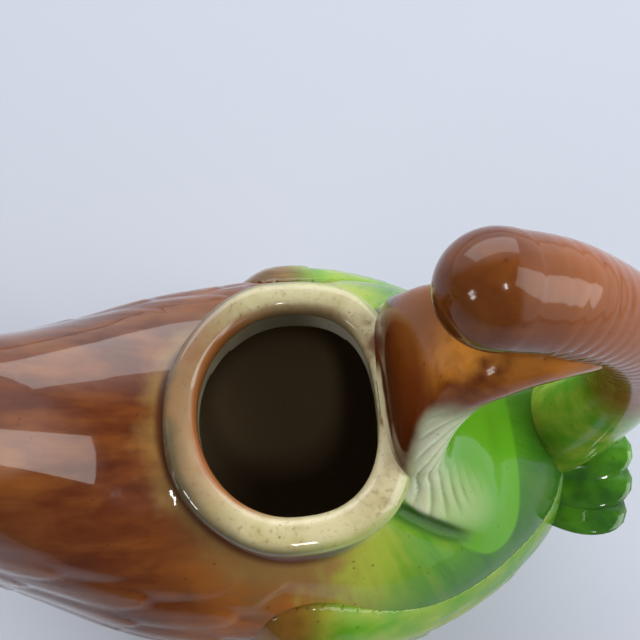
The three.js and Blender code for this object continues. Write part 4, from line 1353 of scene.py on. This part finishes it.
class PITCHER_OT_bill(bpy.types.Operator):
    """Parted bill and the bead eyes"""

    bl_idname = "pitcher.bill"
    bl_label = "Bill and eyes"

    def execute(self, context):
        glazed = glaze("Bill glaze", bill_paint)
        grid = spine_grid(UPPER_BILL, 120, 96)
        vertices, faces = skin(grid)
        local = vertices - [MOUTH_X, 0, 0]
        pit = np.zeros(len(vertices))
        for side in (-1, 1):
            x, y = local[:, 0] - NOSTRIL[0], local[:, 1] - side * NOSTRIL[1]
            far = (x / NOSTRIL_HALF[0]) ** 2 + (y / NOSTRIL_HALF[1]) ** 2
            pit += np.exp(-far) * (local[:, 2] > 0.1652)
        vertices[:, 2] -= NOSTRIL_DEPTH * pit
        upper = mesh_object("glazed_upper_bill", vertices, faces, {"relief": -0.45 * pit})
        cut(upper, *seat_cutters())
        hand_over(upper, glazed, "ochre_glaze", "upper_bill")
        vertices, faces = skin(spine_grid(LOWER_BILL, 90, 80))
        lower = mesh_object("glazed_lower_bill", vertices, faces, {"relief": np.zeros(len(vertices))})
        trough = mesh_object("trough", *skin(spine_grid(TROUGH, 40, 60)))
        cut(lower, trough, *seat_cutters())
        hand_over(lower, glazed, "ochre_glaze", "lower_bill")
        for side, node in ((-1, "left_eye"), (1, "right_eye")):
            self.eye(side, node)
        return {"FINISHED"}

    def eye(self, side, node):
        rows, columns = 40, 64
        polar = np.linspace(0.02, np.pi - 0.02, rows)
        angle = turns(columns)
        grid = np.empty((rows, columns, 3))
        grid[:, :, 0] = EYE_RADIUS * np.sin(polar)[:, None] * np.cos(angle) + MOUTH_X + EYE[0]
        grid[:, :, 1] = EYE_RADIUS * np.sin(polar)[:, None] * np.sin(angle) + side * EYE[1]
        grid[:, :, 2] = -EYE_RADIUS * np.cos(polar)[:, None] + EYE[2]
        bead = mesh_object("glazed_" + node, *skin(grid))
        cut(bead, *seat_cutters())
        hand_over(bead, glaze("Eye glaze", eye_paint, fleck=0.0), "black_glaze", node)


class PITCHER_OT_stage(bpy.types.Operator):
    """Pale floor, soft light and the camera"""

    bl_idname = "pitcher.stage"
    bl_label = "Stage"

    def execute(self, context):
        scene = context.scene
        self.floor()
        self.sky(scene)
        target = Vector((MOUTH_X, 0.0, RIM_TOP))
        for name, place, width, height, power, colour in LIGHTS:
            data = bpy.data.lights.new(name, "AREA")
            data.shape = "RECTANGLE"
            data.size, data.size_y, data.energy, data.color = width, height, power, colour
            lamp = bpy.data.objects.new(name, data)
            lamp.location = place
            lamp.rotation_euler = (target - Vector(place)).to_track_quat("-Z", "Y").to_euler()
            scene.collection.objects.link(lamp)
        self.camera(scene)
        scene.view_settings.view_transform = "Standard"
        return {"FINISHED"}

    def floor(self):
        floor = mesh_object("floor", [(-3, -3, 0), (3, -3, 0), (3, 3, 0), (-3, 3, 0)], [[0, 1, 2, 3]])
        material = bpy.data.materials.new("Floor")
        material.use_nodes = True
        shader = material.node_tree.nodes["Principled BSDF"]
        shader.inputs["Base Color"].default_value = FLOOR_COLOUR
        shader.inputs["Roughness"].default_value = 0.85
        floor.data.materials.append(material)

    def sky(self, scene):
        world = bpy.data.worlds.new("Studio")
        scene.world = world
        world.use_nodes = True
        tree = world.node_tree
        split = tree.nodes.new("ShaderNodeSeparateXYZ")
        tree.links.new(tree.nodes.new("ShaderNodeTexCoord").outputs["Generated"], split.inputs[0])
        x, y = (Field(tree, socket) for socket in split.outputs[:2])
        bright = y.maths("MAXIMUM", y.ramp(0.30, 0.62), x.ramp(0.40, 0.60) * 0.9)
        room = tree.nodes["Background"]
        room.inputs["Color"].default_value = ROOM_COLOUR
        tree.links.new((bright * ROOM_BRIGHT + ROOM_DIM).socket, room.inputs["Strength"])

    def camera(self, scene):
        stage = scene.pitcher_stage
        data = bpy.data.cameras.new("camera")
        data.lens, data.sensor_width = stage.lens, 36.0
        data.clip_start = 0.005
        camera = bpy.data.objects.new("camera", data)
        target = Vector((MOUTH_X, 0.0, RIM_TOP)) + Vector(AIM)
        flat = math.cos(stage.elevation)
        look = Vector((-math.sin(stage.azimuth) * flat, math.cos(stage.azimuth) * flat, -math.sin(stage.elevation)))
        camera.location = target - look * stage.distance
        camera.rotation_euler = look.to_track_quat("-Z", "Y").to_euler()
        scene.collection.objects.link(camera)
        scene.camera = camera


class PITCHER_PT_panel(bpy.types.Panel):
    """Lists the pieces of the pitcher, its glazes and its relief"""

    bl_idname = "PITCHER_PT_panel"
    bl_label = "Duck pitcher"
    bl_space_type = "VIEW_3D"
    bl_region_type = "UI"
    bl_category = "Duck pitcher"

    def draw(self, context):
        for operator in OPERATORS:
            self.layout.operator(operator.bl_idname)
        for key in SETTINGS:
            group = getattr(context.scene, key)
            for name in group.__annotations__:
                self.layout.prop(group, name)


OPERATORS = (
    PITCHER_OT_body, PITCHER_OT_rim, PITCHER_OT_handle, PITCHER_OT_wings, PITCHER_OT_tail, PITCHER_OT_foot,
    PITCHER_OT_bill, PITCHER_OT_stage,
)
SETTINGS = {"pitcher_glaze": PitcherGlaze, "pitcher_relief": PitcherRelief, "pitcher_stage": PitcherStage}


def register():
    for made in (*SETTINGS.values(), *OPERATORS, PITCHER_PT_panel):
        bpy.utils.register_class(made)
    for key, group in SETTINGS.items():
        setattr(bpy.types.Scene, key, bpy.props.PointerProperty(type=group))


def unregister():
    for key in SETTINGS:
        delattr(bpy.types.Scene, key)
    for made in reversed((*SETTINGS.values(), *OPERATORS, PITCHER_PT_panel)):
        bpy.utils.unregister_class(made)


def main():
    register()
    for operator in OPERATORS:
        group, name = operator.bl_idname.split(".")
        getattr(getattr(bpy.ops, group), name)()


if __name__ == "__main__":
    main()
